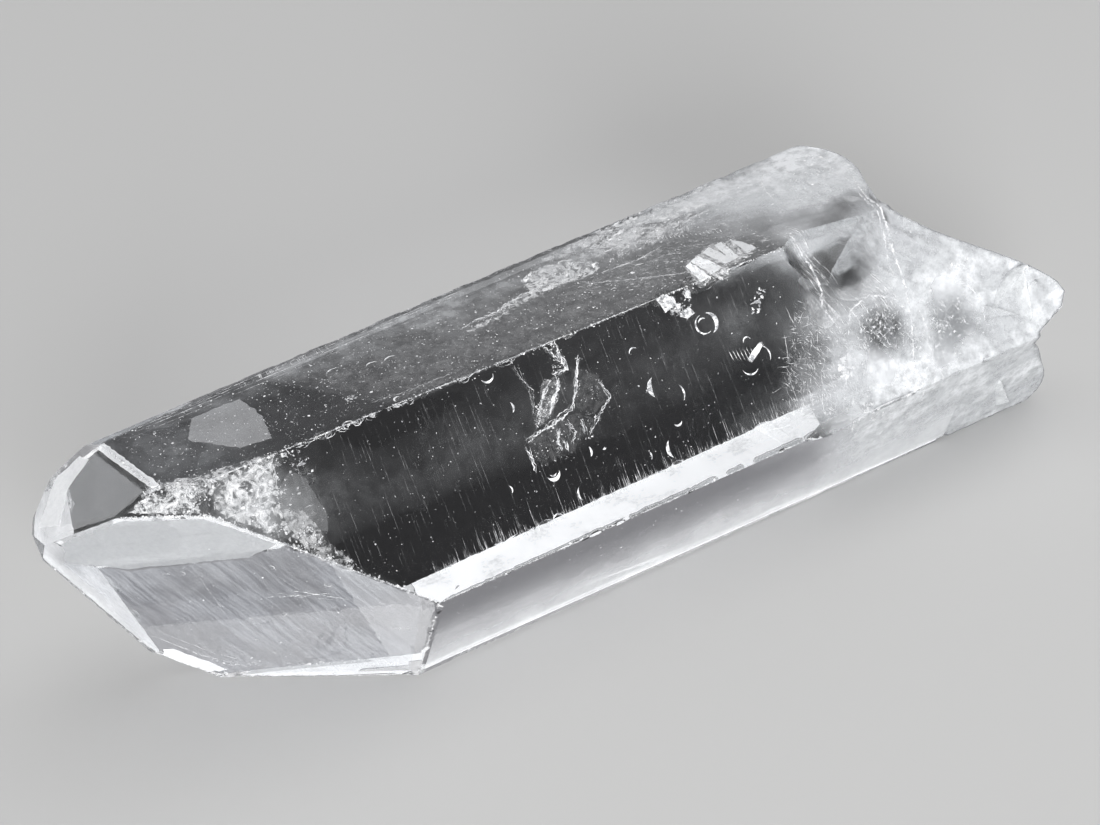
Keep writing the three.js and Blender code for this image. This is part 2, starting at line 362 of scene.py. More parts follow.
def fill_face(rim, normal, points, triangles, rng):
    """Covers one flat face with small triangles. rim holds the numbers of the points round it."""
    along = np.cross(normal, (0.36, 0.48, 0.8) if abs(normal[0]) > 0.9 else (1.0, 0.0, 0.0))
    along /= np.linalg.norm(along)
    across = np.cross(normal, along)
    origin = points[rim[0]]
    flat = np.array([((points[i] - origin) @ along, (points[i] - origin) @ across) for i in rim])
    flat = flat.astype(np.float32).astype(float)
    low, high = flat.min(0), flat.max(0)
    inner = np.zeros((0, 2))
    if min(high - low) > GRAIN:
        columns = np.arange(low[0], high[0], GRAIN)
        rows = np.arange(low[1], high[1], GRAIN * ROW_SHARE)
        x, y = np.meshgrid(columns, rows)
        x = x + (np.arange(len(rows)) % 2 * GRAIN / 2)[:, None]
        inner = np.stack([x.ravel(), y.ravel()], 1)
        inner += rng.uniform(-ROW_JITTER, ROW_JITTER, inner.shape) * GRAIN
        inner = inner[inside_outline(inner, flat)]
        inner = inner[clear_of_outline(inner, flat, GRAIN * RIM_SHARE)]
        inner = inner.astype(np.float32).astype(float)
    numbers = list(rim) + list(range(len(points), len(points) + len(inner)))
    points.extend(origin + inner @ np.array([along, across]))
    seen, spots, where = {}, [], []
    for number, spot in zip(numbers, np.concatenate([flat, inner])):
        if number not in seen:
            seen[number] = len(spots)
            spots.append(spot)
            where.append(number)
    sides = {tuple(sorted((seen[a], seen[b]))) for a, b in zip(rim, rim[1:] + rim[:1])}
    made = delaunay_2d_cdt([Vector(s) for s in spots], sorted(sides), [], 0, 1e-9)
    names = [origins[0] for origins in made[3]]
    corners = np.array([[names[i] for i in face] for face in made[2]])
    spots = np.array(spots)
    keep = inside_outline(spots[corners].mean(axis=1), flat)
    first, second, third = (spots[corners[:, i]] for i in range(3))
    turn = np.cross(second - first, third - first)
    corners[turn < 0] = corners[turn < 0][:, ::-1]
    triangles.extend(np.array(where)[corners[keep]].tolist())


def fine_crystal():
    """The solid as evenly small triangles with the same shape: points in mm about the c axis."""
    rng = np.random.default_rng(5)
    bm = bmesh.new()
    bm.from_mesh(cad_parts["quartz_point"].data)
    bmesh.ops.remove_doubles(bm, verts=bm.verts, dist=1e-7)
    bmesh.ops.dissolve_limit(bm, angle_limit=FLAT_ENOUGH, verts=bm.verts, edges=bm.edges)
    points = [np.array(v.co) / MM - ZERO for v in bm.verts]
    between = {}
    for edge in bm.edges:
        first, last = edge.verts[0].index, edge.verts[1].index
        parts = max(1, round(edge.calc_length() / MM / GRAIN))
        between[edge.index] = (first, list(range(len(points), len(points) + parts - 1)))
        for part in range(1, parts):
            points.append(points[first] + (points[last] - points[first]) * part / parts)
    triangles = []
    for face in bm.faces:
        rim = []
        for loop in face.loops:
            first, middle = between[loop.edge.index]
            rim.append(loop.vert.index)
            rim.extend(middle if loop.vert.index == first else middle[::-1])
        fill_face(rim, np.array(face.normal, float), points, triangles, rng)
    bm.free()
    return np.array(points), np.array(triangles)


# Roughness of shape, in mm: height and width of the bumps.
FACE_WAVES = ((0.0003, 2.6), (0.00008, 0.9))
BREAK_WAVES = ((0.11, 1.2), (0.06, 0.5), (0.03, 0.28))
CHIP_WAVES = ((0.035, 0.6), (0.015, 0.28))
# Chips out of the edges: depth and width in mm, and how much of the edge they leave (more is rarer).
EDGE_CHIPS = ((0.20, 0.9, 0.30), (0.10, 0.42, 0.25))

# X from where a surface off every face belongs to the broken root, and the smooth scar in that: X,
# direction round the axis, reach in each, how much of the frost it loses and how much of the bumps.
ROOT_START = 18.0
SCAR = (24.2, 122, 3.4, 24)
SCAR_POLISH = 0.72
SCAR_SMOOTH = 0.6
# How frosted the glass is at the break, in chips and along edges, from 0 to 1.
BREAK_FROST, CHIP_FROST, EDGE_FROST = 0.9, 0.45, 0.5
# How rough full frost is, what is left of light that passes for shadows, and the angle that stays sharp.
FROST_ROUGHNESS = 0.38
LET_THROUGH = (0.9, 0.9, 0.91, 1.0)
SHARP_DEGREES = 22


def signed_distances(points):
    """Height of every point over every face, in mm."""
    rows = []
    for name, (_, distance, _) in FACES.items():
        rows.append(points @ face_normal(name) - distance)
    return np.array(rows)


def point_normals(points, triangles):
    """Outward direction of the surface at every point."""
    first, second, third = (points[triangles[:, i]] for i in range(3))
    crossed = np.cross(second - first, third - first)
    total = np.zeros_like(points)
    for i in range(3):
        np.add.at(total, triangles[:, i], crossed)
    return total / np.maximum(np.linalg.norm(total, axis=1), 1e-12)[:, None]


def direction_round(places):
    """Degrees round the axis of every place, from 0 to 360."""
    return np.degrees(np.arctan2(places[:, 2], places[:, 1])) % 360


def waves(points, layers, seed):
    """Random bumps over space, in layers of (height, width)."""
    return sum(h * value_noise(points, width, seed + i) for i, (h, width) in enumerate(layers))


def wear_crystal(points, triangles):
    """Moves the fine points as growth, breaking and wear have left them. Returns them and their frost."""
    normals = point_normals(points, triangles)
    on = np.abs(signed_distances(points)) < ON_FACE
    count = on.sum(axis=0)
    flat, edge, broken = count == 1, count >= 2, count == 0
    root = broken & (points[:, 0] > ROOT_START)
    shift = waves(points, FACE_WAVES, 11) * flat
    shift += waves(points, CHIP_WAVES, 23) * (broken & ~root)
    shift += waves(points, BREAK_WAVES, 31) * root
    for i, (height, width, least) in enumerate(EDGE_CHIPS):
        chips = np.clip(value_noise(points, width, 41 + i) - least, 0, None)
        shift -= height * chips / (1 - least) * edge
    aside = (direction_round(points) - SCAR[1] + 180) % 360 - 180
    polish = np.exp(-((points[:, 0] - SCAR[0]) / SCAR[2]) ** 2 - (aside / SCAR[3]) ** 2)
    frost = (BREAK_FROST - SCAR_POLISH * polish) * root + CHIP_FROST * (broken & ~root) + EDGE_FROST * edge
    shift = shift * (1 - SCAR_SMOOTH * polish * root)
    return points + normals * shift[:, None], frost


def part_of_crystal(name, mesh):
    """A new object of the crystal's own body."""
    made = new_object(name, mesh)
    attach(made, "root")
    return made


def to_mesh(name, points, triangles):
    """A mesh in the shared frame from points in mm about the c axis."""
    made = bpy.data.meshes.new(name)
    made.from_pydata((points + ZERO) * MM, [], triangles)
    return made


def keep_on_points(mesh, name, values):
    """Stores a number for every point, which the materials read by name."""
    layer = mesh.attributes.new(name, "FLOAT", "POINT")
    layer.data.foreach_set("value", np.asarray(values, np.float32))


def clear_quartz():
    """Clear glass, frosted where the quartz is worn or broken. It lets light by to what lies inside."""
    material, tree = new_material("clear_quartz")
    frosting = tree.add("ShaderNodeAttribute", attribute_name="frost").outputs["Fac"]
    rough = tree.maths("MULTIPLY", frosting, FROST_ROUGHNESS)
    values = {"Base Color": (1, 1, 1, 1), "Roughness": rough, "IOR": QUARTZ_IOR, "Transmission Weight": 1.0}
    glass = tree.add("ShaderNodeBsdfPrincipled", values)
    path = tree.add("ShaderNodeLightPath").outputs
    let_through = tree.maths("MAXIMUM", path["Is Shadow Ray"], path["Is Diffuse Ray"])
    clear = tree.add("ShaderNodeBsdfTransparent", {"Color": LET_THROUGH})
    mix = tree.add("ShaderNodeMixShader", {0: let_through, 1: glass.outputs[0], 2: clear.outputs[0]})
    tree.add("ShaderNodeOutputMaterial", {"Surface": mix.outputs[0]})
    return material


def make_crystal(points, triangles, frost):
    """The crystal itself, in place of the plain solid."""
    mesh = to_mesh("crystal", points, triangles)
    keep_on_points(mesh, "frost", frost)
    mesh.shade_smooth()
    mesh.set_sharp_from_angle(angle=math.radians(SHARP_DEGREES))
    mesh.materials.append(clear_quartz())
    crystal = part_of_crystal("crystal", mesh)
    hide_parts("quartz_point")
    return crystal


points, triangles = fine_crystal()
points, frost = wear_crystal(points, triangles)
make_crystal(points, triangles, frost)
outside = BVHTree.FromPolygons(points.tolist(), triangles.tolist())


FARTHEST_SURFACE = 30   # mm from the c axis
NO_SURFACE = 4          # mm from the c axis, for a place where the axis is already outside the break


def under_surface(x, around, depth=0.06):
    """A place just under the crystal's real surface, in mm about the c axis."""
    way = round_axis(around)
    axis = np.array((x, 0, 0))
    place = outside.ray_cast(Vector(axis), Vector(way), FARTHEST_SURFACE)[0]
    return np.array(place) - way * depth if place else axis + way * NO_SURFACE


def drawn_inside(places, least=0.012):
    """Places moved, where they lie outside the crystal or too near its surface, to just under it."""
    places = places.copy()
    normals = np.array([face_normal(name) for name in FACES])
    for _ in range(4):
        heights = signed_distances(places)
        over = np.clip(heights.max(axis=0) + least, 0, None)
        places -= normals[heights.argmax(axis=0)] * over[:, None]
    for i in np.flatnonzero(places[:, 0] > ROOT_START - 1):
        near, normal, _, _ = outside.find_nearest(Vector(places[i]))
        if (Vector(places[i]) - near).dot(normal) > -least:
            places[i] = near - normal * least * 1.5
    return places


# ---------------------------------------------------------------- milky root

# The milk's sheets: how deep the first lies in mm, and the others; the grain of those others, the
# share of the milk that they have, and the milk below which a sheet has no surface.
SKIN_DEPTH = 0.07
CLOUD_DEPTHS = (0.9, 2.0, 3.3)
CLOUD_GRAIN = 0.4
DEEPER_SHARE = 0.8
LEAST_MILK = 0.01

# X where the milk begins, by direction round the axis.
MILK_START = (
    (0, 23), (20, 19), (40, 15), (60, 15.5), (75, 19), (100, 20.5), (120, 22), (140, 21.5), (160, 20),
    (180, 17.8), (210, 18.5), (240, 20), (300, 24), (330, 25), (345, 24.5), (360, 23),
)
# How far it takes to thicken, in mm and as a power, and how thick it gets.
MILK_RISE = 4.0
MILK_POWER = 1.3
MILK_MOST = 0.56
# How raggedly it begins, and how raggedly the channels through it run: height and width of the waves.
MILK_RAGGED = ((1.5, 3.0), (0.7, 1.1))
CHANNEL_RAGGED = ((0.3, 1.3), (0.25, 0.5))

# Places with more milk: X, direction round the axis, their reach in each, and how much more. None
# starts further before the milk than the reach.
MILK_SPOT_REACH = 5
MILK_SPOTS = (
    (30.0, 150, 3.0, 6, 0.25),
    (26.0, 188, 7.0, 14, 0.24),
    (27.6, 66, 3.2, 16, 0.5),
    (34.5, 150, 2.5, 90, 0.35),
    (21.0, 150, 2.0, 16, 0.25),
)

# Clearer channels through the milk, from one place of the surface to another (each X and direction
# round the axis): how wide they are, and how clear.
CLEAR_CHANNELS = (
    ((23.8, 121), (28.4, 335), 2.3, 0.9),
    ((26.0, 111), (30.2, 318), 1.7, 0.9),
    ((23.3, 132), (28.0, 338), 1.6, 0.85),
    ((24.0, 161), (29.0, 312), 1.6, 0.95),
    ((28.4, 169), (31.8, 240), 1.7, 0.95),
)

# Faint haze just under the faces: X, direction round the axis, reach in each, and how much. Haze
# fainter than the least is left out. The patches are the height and width of its waves.
LEAST_HAZE = 0.012
HAZE = (
    (-6.0, 138, 11.0, 13, 0.030),
    (7.0, 140, 8.0, 16, 0.035),
    (16.0, 132, 4.0, 14, 0.06),
    (0.0, 84, 9.0, 22, 0.09),
    (2.0, 66, 18.0, 9, 0.36),
    (12.0, 82, 7.0, 20, 0.1),
    (18.5, 92, 3.5, 16, 0.2),
    (-16.5, 88, 4.5, 24, 0.16),
    (-15.5, 130, 3.5, 12, 0.28),
)
HAZE_PATCHES = (0.35, 1.6)
# The same for the large point face, where it lies in streaks along the growth lines: how much, its
# least and most share in them, and how near the face and how far towards the root it reaches.
POINT_HAZE = 0.06
POINT_HAZE_SHARES = (0.1, 1.6)
POINT_HAZE_NEAR = 0.05
POINT_HAZE_END = -8
# Which way those lines run and which way lies across them, in (x, aside), how finely the streaks are
# drawn each way, and how far they swirl.
GROWTH_WAY = (0.8, 0.6)
GROWTH_ACROSS = (0.6, -0.8)
GROWTH_ALONG_SCALE = 240.0
GROWTH_ACROSS_SCALE = 4000.0
GROWTH_SWIRL = (1.2, 3.2, 0.0)


def inner_shell(depth):
    """The crystal's own surface, drawn in by a depth: points in mm about the c axis, and faces."""
    copy = new_object("shell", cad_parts["quartz_point"].data.copy())
    remesh = copy.modifiers.new("remesh", "REMESH")
    remesh.mode = "VOXEL"
    remesh.voxel_size = CLOUD_GRAIN * MM
    sink = copy.modifiers.new("sink", "DISPLACE")
    sink.strength = -depth * MM
    sink.mid_level = 0.0
    ease = copy.modifiers.new("ease", "SMOOTH")
    ease.iterations = 3
    drawn = copy.evaluated_get(bpy.context.evaluated_depsgraph_get())
    mesh = bpy.data.meshes.new_from_object(drawn)
    bpy.data.objects.remove(copy)
    co = np.zeros(len(mesh.vertices) * 3, np.float32)
    mesh.vertices.foreach_get("co", co)
    made = co.reshape(-1, 3) / MM - ZERO
    faces = np.array([tuple(p.vertices) for p in mesh.polygons])
    bpy.data.meshes.remove(mesh)
    return made, faces


def milkiness(places):
    """How milky the quartz is at each place, from 0 to 1."""
    x = places[:, 0] + waves(places, MILK_RAGGED, 61)
    around = direction_round(places)
    start = np.interp(around, *zip(*MILK_START))
    milk = np.clip((x - start) / MILK_RISE, 0, 1) ** MILK_POWER * MILK_MOST
    for spot_x, spot_around, long, wide, more in MILK_SPOTS:
        aside = (around - spot_around + 180) % 360 - 180
        here = more * np.exp(-((x - spot_x) / long) ** 2 - (aside / wide) ** 2)
        milk += here * (x > start - MILK_SPOT_REACH)
    for first, last, wide, clear in CLEAR_CHANNELS:
        start, end = under_surface(*first), under_surface(*last)
        share = np.clip((places - start) @ (end - start) / ((end - start) @ (end - start)), 0, 1)
        away = np.linalg.norm(places - start - share[:, None] * (end - start), axis=1)
        away *= 1 + waves(places, CHANNEL_RAGGED, 67)
        milk *= 1 - clear * np.exp(-(away / wide) ** 4)
    return np.clip(milk, 0, 1)


def haziness(places):
    """How much faint haze there is just under the surface, from 0 to 1."""
    around = direction_round(places)
    haze = np.zeros(len(places))
    for x, towards, long, wide, amount in HAZE:
        aside = (around - towards + 180) % 360 - 180
        haze += amount * np.exp(-((places[:, 0] - x) / long) ** 2 - (aside / wide) ** 2)
    aside = places @ round_axis(FACES["point_front_low"][0] + 90)
    along = places[:, 0] * GROWTH_WAY[0] + aside * GROWTH_WAY[1]
    across = places[:, 0] * GROWTH_WAY[1] - aside * GROWTH_WAY[0] + 0.5 * value_noise(places, 1.7, 65)
    streaks = value_noise(np.stack([along / 5, across, across * 0], 1), 0.42, 64)
    streaks += 0.8 * value_noise(places, 2.6, 66)
    flat = places @ face_normal("point_front_low") - FACES["point_front_low"][1]
    on_point = (np.abs(flat + SKIN_DEPTH) < POINT_HAZE_NEAR) & (places[:, 0] < POINT_HAZE_END)
    haze += POINT_HAZE * on_point * np.clip(0.75 + 0.6 * streaks, *POINT_HAZE_SHARES)
    return np.where(haze > LEAST_HAZE, haze * (1 + waves(places, (HAZE_PATCHES,), 63)), 0)


def make_root_cloud():
    """Sheets of milk at several depths in the root, the first just under the surface."""
    skin = points - point_normals(points, triangles) * SKIN_DEPTH
    sheets = [(skin, triangles, milkiness(skin) + haziness(skin))]
    for depth in CLOUD_DEPTHS:
        shell, sides = inner_shell(depth)
        sheets.append((shell, sides, DEEPER_SHARE * milkiness(shell)))
    places, faces, milk, base = [], [], [], 0
    for sheet, sides, thick in sheets:
        sides = sides[(thick[sides] > LEAST_MILK).any(axis=1)]
        corners = sides.shape[1]
        used, sides = np.unique(sides, return_inverse=True)
        faces.extend((sides.reshape(-1, corners) + base).tolist())
        places.append(sheet[used])
        milk.append(thick[used])
        base += len(used)
    mesh = to_mesh("root_cloud", np.concatenate(places), faces)
    keep_on_points(mesh, "milk", np.concatenate(milk))
    mesh.shade_smooth()
    mesh.materials.append(milky_quartz())
    return part_of_crystal("root_cloud", mesh)


def milky_quartz():
    """White with fine wisps, clear between them, and a faint painted glow, stronger where it is thick, in
    place of light that wanders inside it.
    """
    material, tree, place, milk = inner_material("milky_quartz")
    wisps = tree.noise(place, 1300.0, Detail=7.0, Roughness=0.7)
    clouds = tree.noise(place, 420.0, Detail=3.0, Distortion=0.6)
    alpha = tree.maths("MULTIPLY", milk, tree.ramp(wisps, 0.30, 0.68, 0.5, 1.25))
    alpha = tree.maths("MULTIPLY", alpha, tree.ramp(clouds, 0.34, 0.64, 0.55, 1.12))
    # Painted glow: emission that stands in for light scattered inside the milk.
    painted_glow = tree.blend(alpha, (0.03, 0.032, 0.034, 1.0), (0.14, 0.144, 0.148, 1.0))
    tree.end_principled({
        "Base Color": (0.62, 0.634, 0.645, 1), "Roughness": 0.8, "Specular IOR Level": 0.0, "Alpha": alpha,
        "Emission Color": painted_glow, "Emission Strength": 1.0,
    })
    return material


# ---------------------------------------------------------------- flaws: shards, strands, crescents

class Flaws:
    """Small closed shards and strands of white fracture, gathered into one piece. All in mm."""

    SIZE_SPREAD = 0.35          # how widely the sizes of flakes vary, as a logarithm
    CORNER_SHIFT = 0.3          # how far a flake's corner strays round it, in radians before scaling
    CORNER_REACH = (0.55, 1.1)  # how far its corners reach, in shares of its size
    WHITENESS = (0.3, 1.0)      # how white flakes are, in shares of self.white
    UNDER_FACES = 0.03          # how far below every face a flake's middle lies at least

    def __init__(self, seed):
        self.rng = np.random.default_rng(seed)
        self.points, self.triangles, self.milk, self.count = [], [], [], 0
        self.white = 1.0

    def keep(self, points, triangles, white=None):
        """Adds closed shapes, as white (0 to 1) as self.white says at the time unless white is given."""
        self.points.append(points)
        self.triangles.append(triangles + self.count)
        self.milk.append(np.full(len(points), self.white) if white is None else white)
        self.count += len(points)

    def shards(self, centres, normals, size, stretch=1.0, heading=None, tilt=0.3, corners=5, thin=0.14):
        """Flat ragged flakes, lying about as their normals say, some stretched along heading."""
        rng, many = self.rng, len(centres)
        normals = normals + rng.normal(0, tilt, (many, 3))
        normals /= np.linalg.norm(normals, axis=1)[:, None]
        if heading is None:
            heading = rng.normal(size=(many, 3))
        u = heading - (heading * normals).sum(1)[:, None] * normals
        u /= np.linalg.norm(u, axis=1)[:, None]
        v = np.cross(normals, u)
        size = size * np.exp(rng.normal(0, self.SIZE_SPREAD, many))
        strayed = rng.uniform(-self.CORNER_SHIFT, self.CORNER_SHIFT, (many, corners))
        turn = (np.arange(corners) + strayed) * 2 * np.pi / corners
        reach = rng.uniform(*self.CORNER_REACH, (many, corners)) * size[:, None]
        ring = centres[:, None] + (np.cos(turn) * reach * stretch)[..., None] * u[:, None]
        ring = ring + (np.sin(turn) * reach)[..., None] * v[:, None]
        tops = (centres + normals * (thin * size)[:, None])[:, None]
        bottoms = (centres - normals * (thin * size)[:, None])[:, None]
        points = np.concatenate([ring, tops, bottoms], axis=1)
        k = np.arange(corners)
        after = (k + 1) % corners
        one = np.concatenate([
            np.stack([k, after, np.full(corners, corners)], 1),
            np.stack([after, k, np.full(corners, corners + 1)], 1),
        ])
        starts = np.arange(many)[:, None, None] * (corners + 2)
        white = self.white * np.repeat(rng.uniform(*self.WHITENESS, many), corners + 2)
        self.keep(points.reshape(-1, 3), (one[None] + starts).reshape(-1, 3), white)

    def strand(self, path, width, normal, flat=0.35):
        """A thin closed ribbon along a path. width has a number for each of the path's inner points."""
        path = np.asarray(path, float)
        ahead = np.gradient(path, axis=0)
        side = np.cross(np.broadcast_to(normal, path.shape), ahead)
        side /= np.maximum(np.linalg.norm(side, axis=1), 1e-9)[:, None]
        rise = np.cross(ahead, side)
        rise /= np.maximum(np.linalg.norm(rise, axis=1), 1e-9)[:, None]
        half = np.asarray(width, float)[:, None] / 2
        middle = path[1:-1]
        side, rise = side[1:-1] * half, rise[1:-1] * half * flat
        rings = np.stack([middle + side, middle + rise, middle - side, middle - rise], 1)
        points = np.concatenate([rings.reshape(-1, 3), path[:1], path[-1:]])
        triangles = []
        last = len(middle) - 1
        for k in range(4):
            j = (k + 1) % 4
            for i in range(last):
                a, b, c, d = 4 * i + k, 4 * i + j, 4 * i + 4 + k, 4 * i + 4 + j
                triangles += [(a, c, b), (b, c, d)]
            triangles.append((len(points) - 2, k, j))
            triangles.append((len(points) - 1, 4 * last + j, 4 * last + k))
        self.keep(points, np.array(triangles))

    def wander(self, controls, width, normal, sway=0.05, step=0.12):
        """A ragged strand through control places, swaying off the straight way between them."""
        controls = np.asarray(controls, float)
        lengths = np.linalg.norm(np.diff(controls, axis=0), axis=1)
        along = np.concatenate([[0], np.cumsum(lengths)])
        spots = np.linspace(0, along[-1], max(5, int(along[-1] / step)))
        path = np.stack([np.interp(spots, along, controls[:, i]) for i in range(3)], 1)
        path += self.rng.normal(0, sway, path.shape)
        profile = np.sin(np.linspace(0.25, np.pi - 0.25, len(path) - 2)) ** 0.6
        self.strand(path, width * profile * self.rng.uniform(0.5, 1.3, len(path) - 2), normal)

    def crescent(self, face, x, aside, radius, start, sweep, width, depth=0.12):
        """A curved flaw just under a face, thickest in the middle. Angles are from +X to aside."""
        turn = np.radians(np.linspace(start, start + sweep, 15))
        path = [on_face(face, x + radius * math.cos(t), aside + radius * math.sin(t), depth) for t in turn]
        profile = np.sin(np.linspace(0.2, np.pi - 0.2, len(path) - 2))
        self.strand(path, width * profile, face_normal(face), 0.5)

    def spall(self, face, outline, tiers, depth=(0.05, 0.4), **how):
        """Broken flakes of several sizes: tiers of how many, their size and how white."""
        for many, size, white in tiers:
            self.white = white
            self.field(face, outline, many, size, depth, **how)

    def field(self, face, outline, many, size, depth=(0.05, 0.3), clump=0, **how):
        """Shards scattered under a face inside an outline of (x, aside), in clumps if those have a size."""
        outline = np.array(outline, float)
        low, high = outline.min(0), outline.max(0)
        spots = self.rng.uniform(low, high, (many * 4, 2))
        spots = spots[inside_outline(spots, outline)][:many]
        deep = self.rng.uniform(*depth, len(spots))
        centres = np.array([on_face(face, x, aside, d) for (x, aside), d in zip(spots, deep)])
        centres = centres[signed_distances(centres).max(axis=0) < -self.UNDER_FACES]
        if clump:
            crowd = waves(centres, ((1.0, clump), (0.5, clump / 2.3)), 91)
            centres = centres[crowd > self.rng.uniform(-0.7, 0.7, len(centres))]
        normals = np.broadcast_to(face_normal(face), centres.shape)
        if "heading" in how:
            x, aside = how["heading"]
            way = on_face(face, x, aside) - on_face(face, 0, 0)
            how["heading"] = way + self.rng.normal(0, 0.25, centres.shape) * np.linalg.norm(way)
        self.shards(centres, normals, size, **how)

    def veil(self, face, outline, depth=0.1, ragged=0.03, step=0.25, thin=0.012):
        """A thin closed sheet under a face, with a ragged outline of (x, aside) places.

        Where the raggedness would make the outline cross itself, it is made smaller.
        """
        outline = np.array(outline, float)
        rim = []
        for start, end in zip(outline, np.roll(outline, -1, axis=0)):
            parts = max(1, int(np.hypot(*(end - start)) / step))
            rim.extend(start + (end - start) * np.arange(parts)[:, None] / parts)
        straight, rough = np.array(rim), self.rng.normal(0, ragged, (len(rim), 2))
        for share in (1.0, 0.5, 0.2, 0.0):
            rim = straight + rough * share
            loop = [list(range(len(rim)))]
            filled = delaunay_2d_cdt([Vector(p) for p in rim], [], loop, 1, 1e-9)
            if len(filled[0]) == len(rim):
                break
        upper = np.array([on_face(face, x, aside, depth) for x, aside in rim])
        lower = np.array([on_face(face, x, aside, depth + thin) for x, aside in rim])
        many = len(rim)
        names = [origins[0] for origins in filled[3]]
        top = np.array([[names[i] for i in corners][::-1] for corners in filled[2]])
        k = np.arange(many)
        after = (k + 1) % many
        near, far = np.stack([k, after, k + many], 1), np.stack([after, after + many, k + many], 1)
        self.keep(np.concatenate([upper, lower]), np.concatenate([top, top[:, ::-1] + many, near, far]))

    def along_edge(self, first, second, start, end, many, size, spread=0.06, **how):
        """Chips and flecks along the edge between two faces, from one X (or aside) to another."""
        at = self.rng.uniform(start, end, many)
        clumps = value_noise(np.stack([at, at * 0, at * 0], 1), 0.9, 71) > self.rng.uniform(-1.1, 0.5, many)
        place = across_edge if FACES[first][0] == FACES[second][0] else on_edge
        centres = np.array([place(first, second, a) for a in at[clumps]])
        inward = -(face_normal(first) + face_normal(second))
        inward /= np.linalg.norm(inward)
        centres += inward * (self.rng.uniform(0.3, 1.0, len(centres)) * size * 1.2)[:, None]
        centres += self.rng.normal(0, spread, centres.shape)
        centres = centres[signed_distances(centres).max(axis=0) < 0.0]
        normals = np.broadcast_to(-inward, centres.shape)
        self.shards(centres, normals, size, **how)

    def piece(self, name, material):
        """All that was kept, drawn inside the crystal, as one piece."""
        points = drawn_inside(np.concatenate(self.points))
        mesh = to_mesh(name, points, np.concatenate(self.triangles).tolist())
        keep_on_points(mesh, "milk", np.concatenate(self.milk))
        mesh.materials.append(material)
        return part_of_crystal(name, mesh)


def white_fracture():
    """Where the quartz has parted inside, it is as white as crushed ice, and lets some light by."""
    material, tree, place, white = inner_material("white_fracture")
    speckle = tree.noise(place, 3500.0, Detail=3.0)
    colour = tree.blend(tree.ramp(speckle, 0.3, 0.6), (0.68, 0.70, 0.72, 1.0), (0.96, 0.965, 0.97, 1.0))
    alpha = tree.maths("MULTIPLY", white, tree.ramp(speckle, 0.38, 0.6, 0.25, 1.0))
    rough = tree.ramp(speckle, 0.35, 0.65, 0.25, 0.6)
    tree.end_principled({"Base Color": colour, "Roughness": rough, "Alpha": alpha})
    return material


def veil_haze():
    """What all the veils share: an even haze with a fine grain and a few streaks."""
    group = bpy.data.node_groups.new("veil_haze", "ShaderNodeTree")
    for name, way, kind in (
        ("Place", "INPUT", "NodeSocketVector"), ("White", "INPUT", "NodeSocketFloat"),
        ("Grain", "OUTPUT", "NodeSocketFloat"), ("Alpha", "OUTPUT", "NodeSocketFloat"),
    ):
        group.interface.new_socket(name=name, in_out=way, socket_type=kind)
    tree = Tree(group)
    given = tree.add("NodeGroupInput").outputs
    grain = tree.noise(given["Place"], 3200.0, Detail=3.0, Roughness=0.7)
    drift = tree.noise(given["Place"], 420.0, Detail=3.0)
    alpha = tree.maths("MULTIPLY", given["White"], tree.ramp(grain, 0.3, 0.7, 0.93, 1.04))
    alpha = tree.maths("MULTIPLY", alpha, tree.ramp(drift, 0.3, 0.7, 0.88, 1.06))
    tree.add("NodeGroupOutput", {"Grain": grain, "Alpha": alpha})
    return group


def cloudy_veil(name, haze, tones, painted_glow_from=0.75, painted_glow_full=0.98, most=0.24):
    """Frosted faces and healed cracks, hazy between two tones, with a faint painted glow where they are
    thick.
    """
    material, tree, place, white = inner_material(name)
    shared = tree.add("ShaderNodeGroup", {"Place": place, "White": white}, node_tree=haze).outputs
    alpha = shared["Alpha"]
    colour = tree.blend(shared["Grain"], *tones)
    # Painted glow: emission where the veil is thick, though it is no lamp.
    brightest = (most, most + 0.005, most + 0.01, 1.0)
    painted_glow = tree.blend(tree.ramp(alpha, painted_glow_from, painted_glow_full), (0.0, 0.0, 0.0, 1.0), brightest)
    tree.end_principled({
        "Base Color": colour, "Roughness": 0.75, "Specular IOR Level": 0.0, "Alpha": alpha,
        "Emission Color": painted_glow, "Emission Strength": 1.0,
    })
    return material


def line_on(face, spots, depth=0.15):
    """Places under a face, from their (x, aside)."""
    return [on_face(face, x, aside, depth) for x, aside in spots]


def crumpled_fracture():
    """Crushed quartz that shows through a face: bright folds and creases, with hollows between them, and a
    faint even painted glow.
    """
    material, tree, place, white = inner_material("crumpled_fracture")
    fold = tree.noise(place, 1700.0, Detail=6.0, Distortion=1.3)
    crease = tree.maths("ABSOLUTE", tree.maths("SUBTRACT", fold, 0.53))
    bright = tree.ramp(fold, 0.46, 0.70, 0.03, 0.85)
    shape = tree.maths("ADD", bright, tree.ramp(crease, 0.0, 0.022, 0.5, 0.0))
    alpha = tree.maths("MULTIPLY", white, shape)
    colour = tree.blend(tree.ramp(fold, 0.35, 0.7), (0.62, 0.64, 0.65, 1.0), (0.97, 0.97, 0.97, 1.0))
    tree.end_principled({
        "Base Color": colour, "Roughness": 0.5, "Alpha": alpha,
        # Painted glow: a faint even emission.
        "Emission Color": (0.05, 0.051, 0.052, 1.0), "Emission Strength": 1.0,
    })
    return material


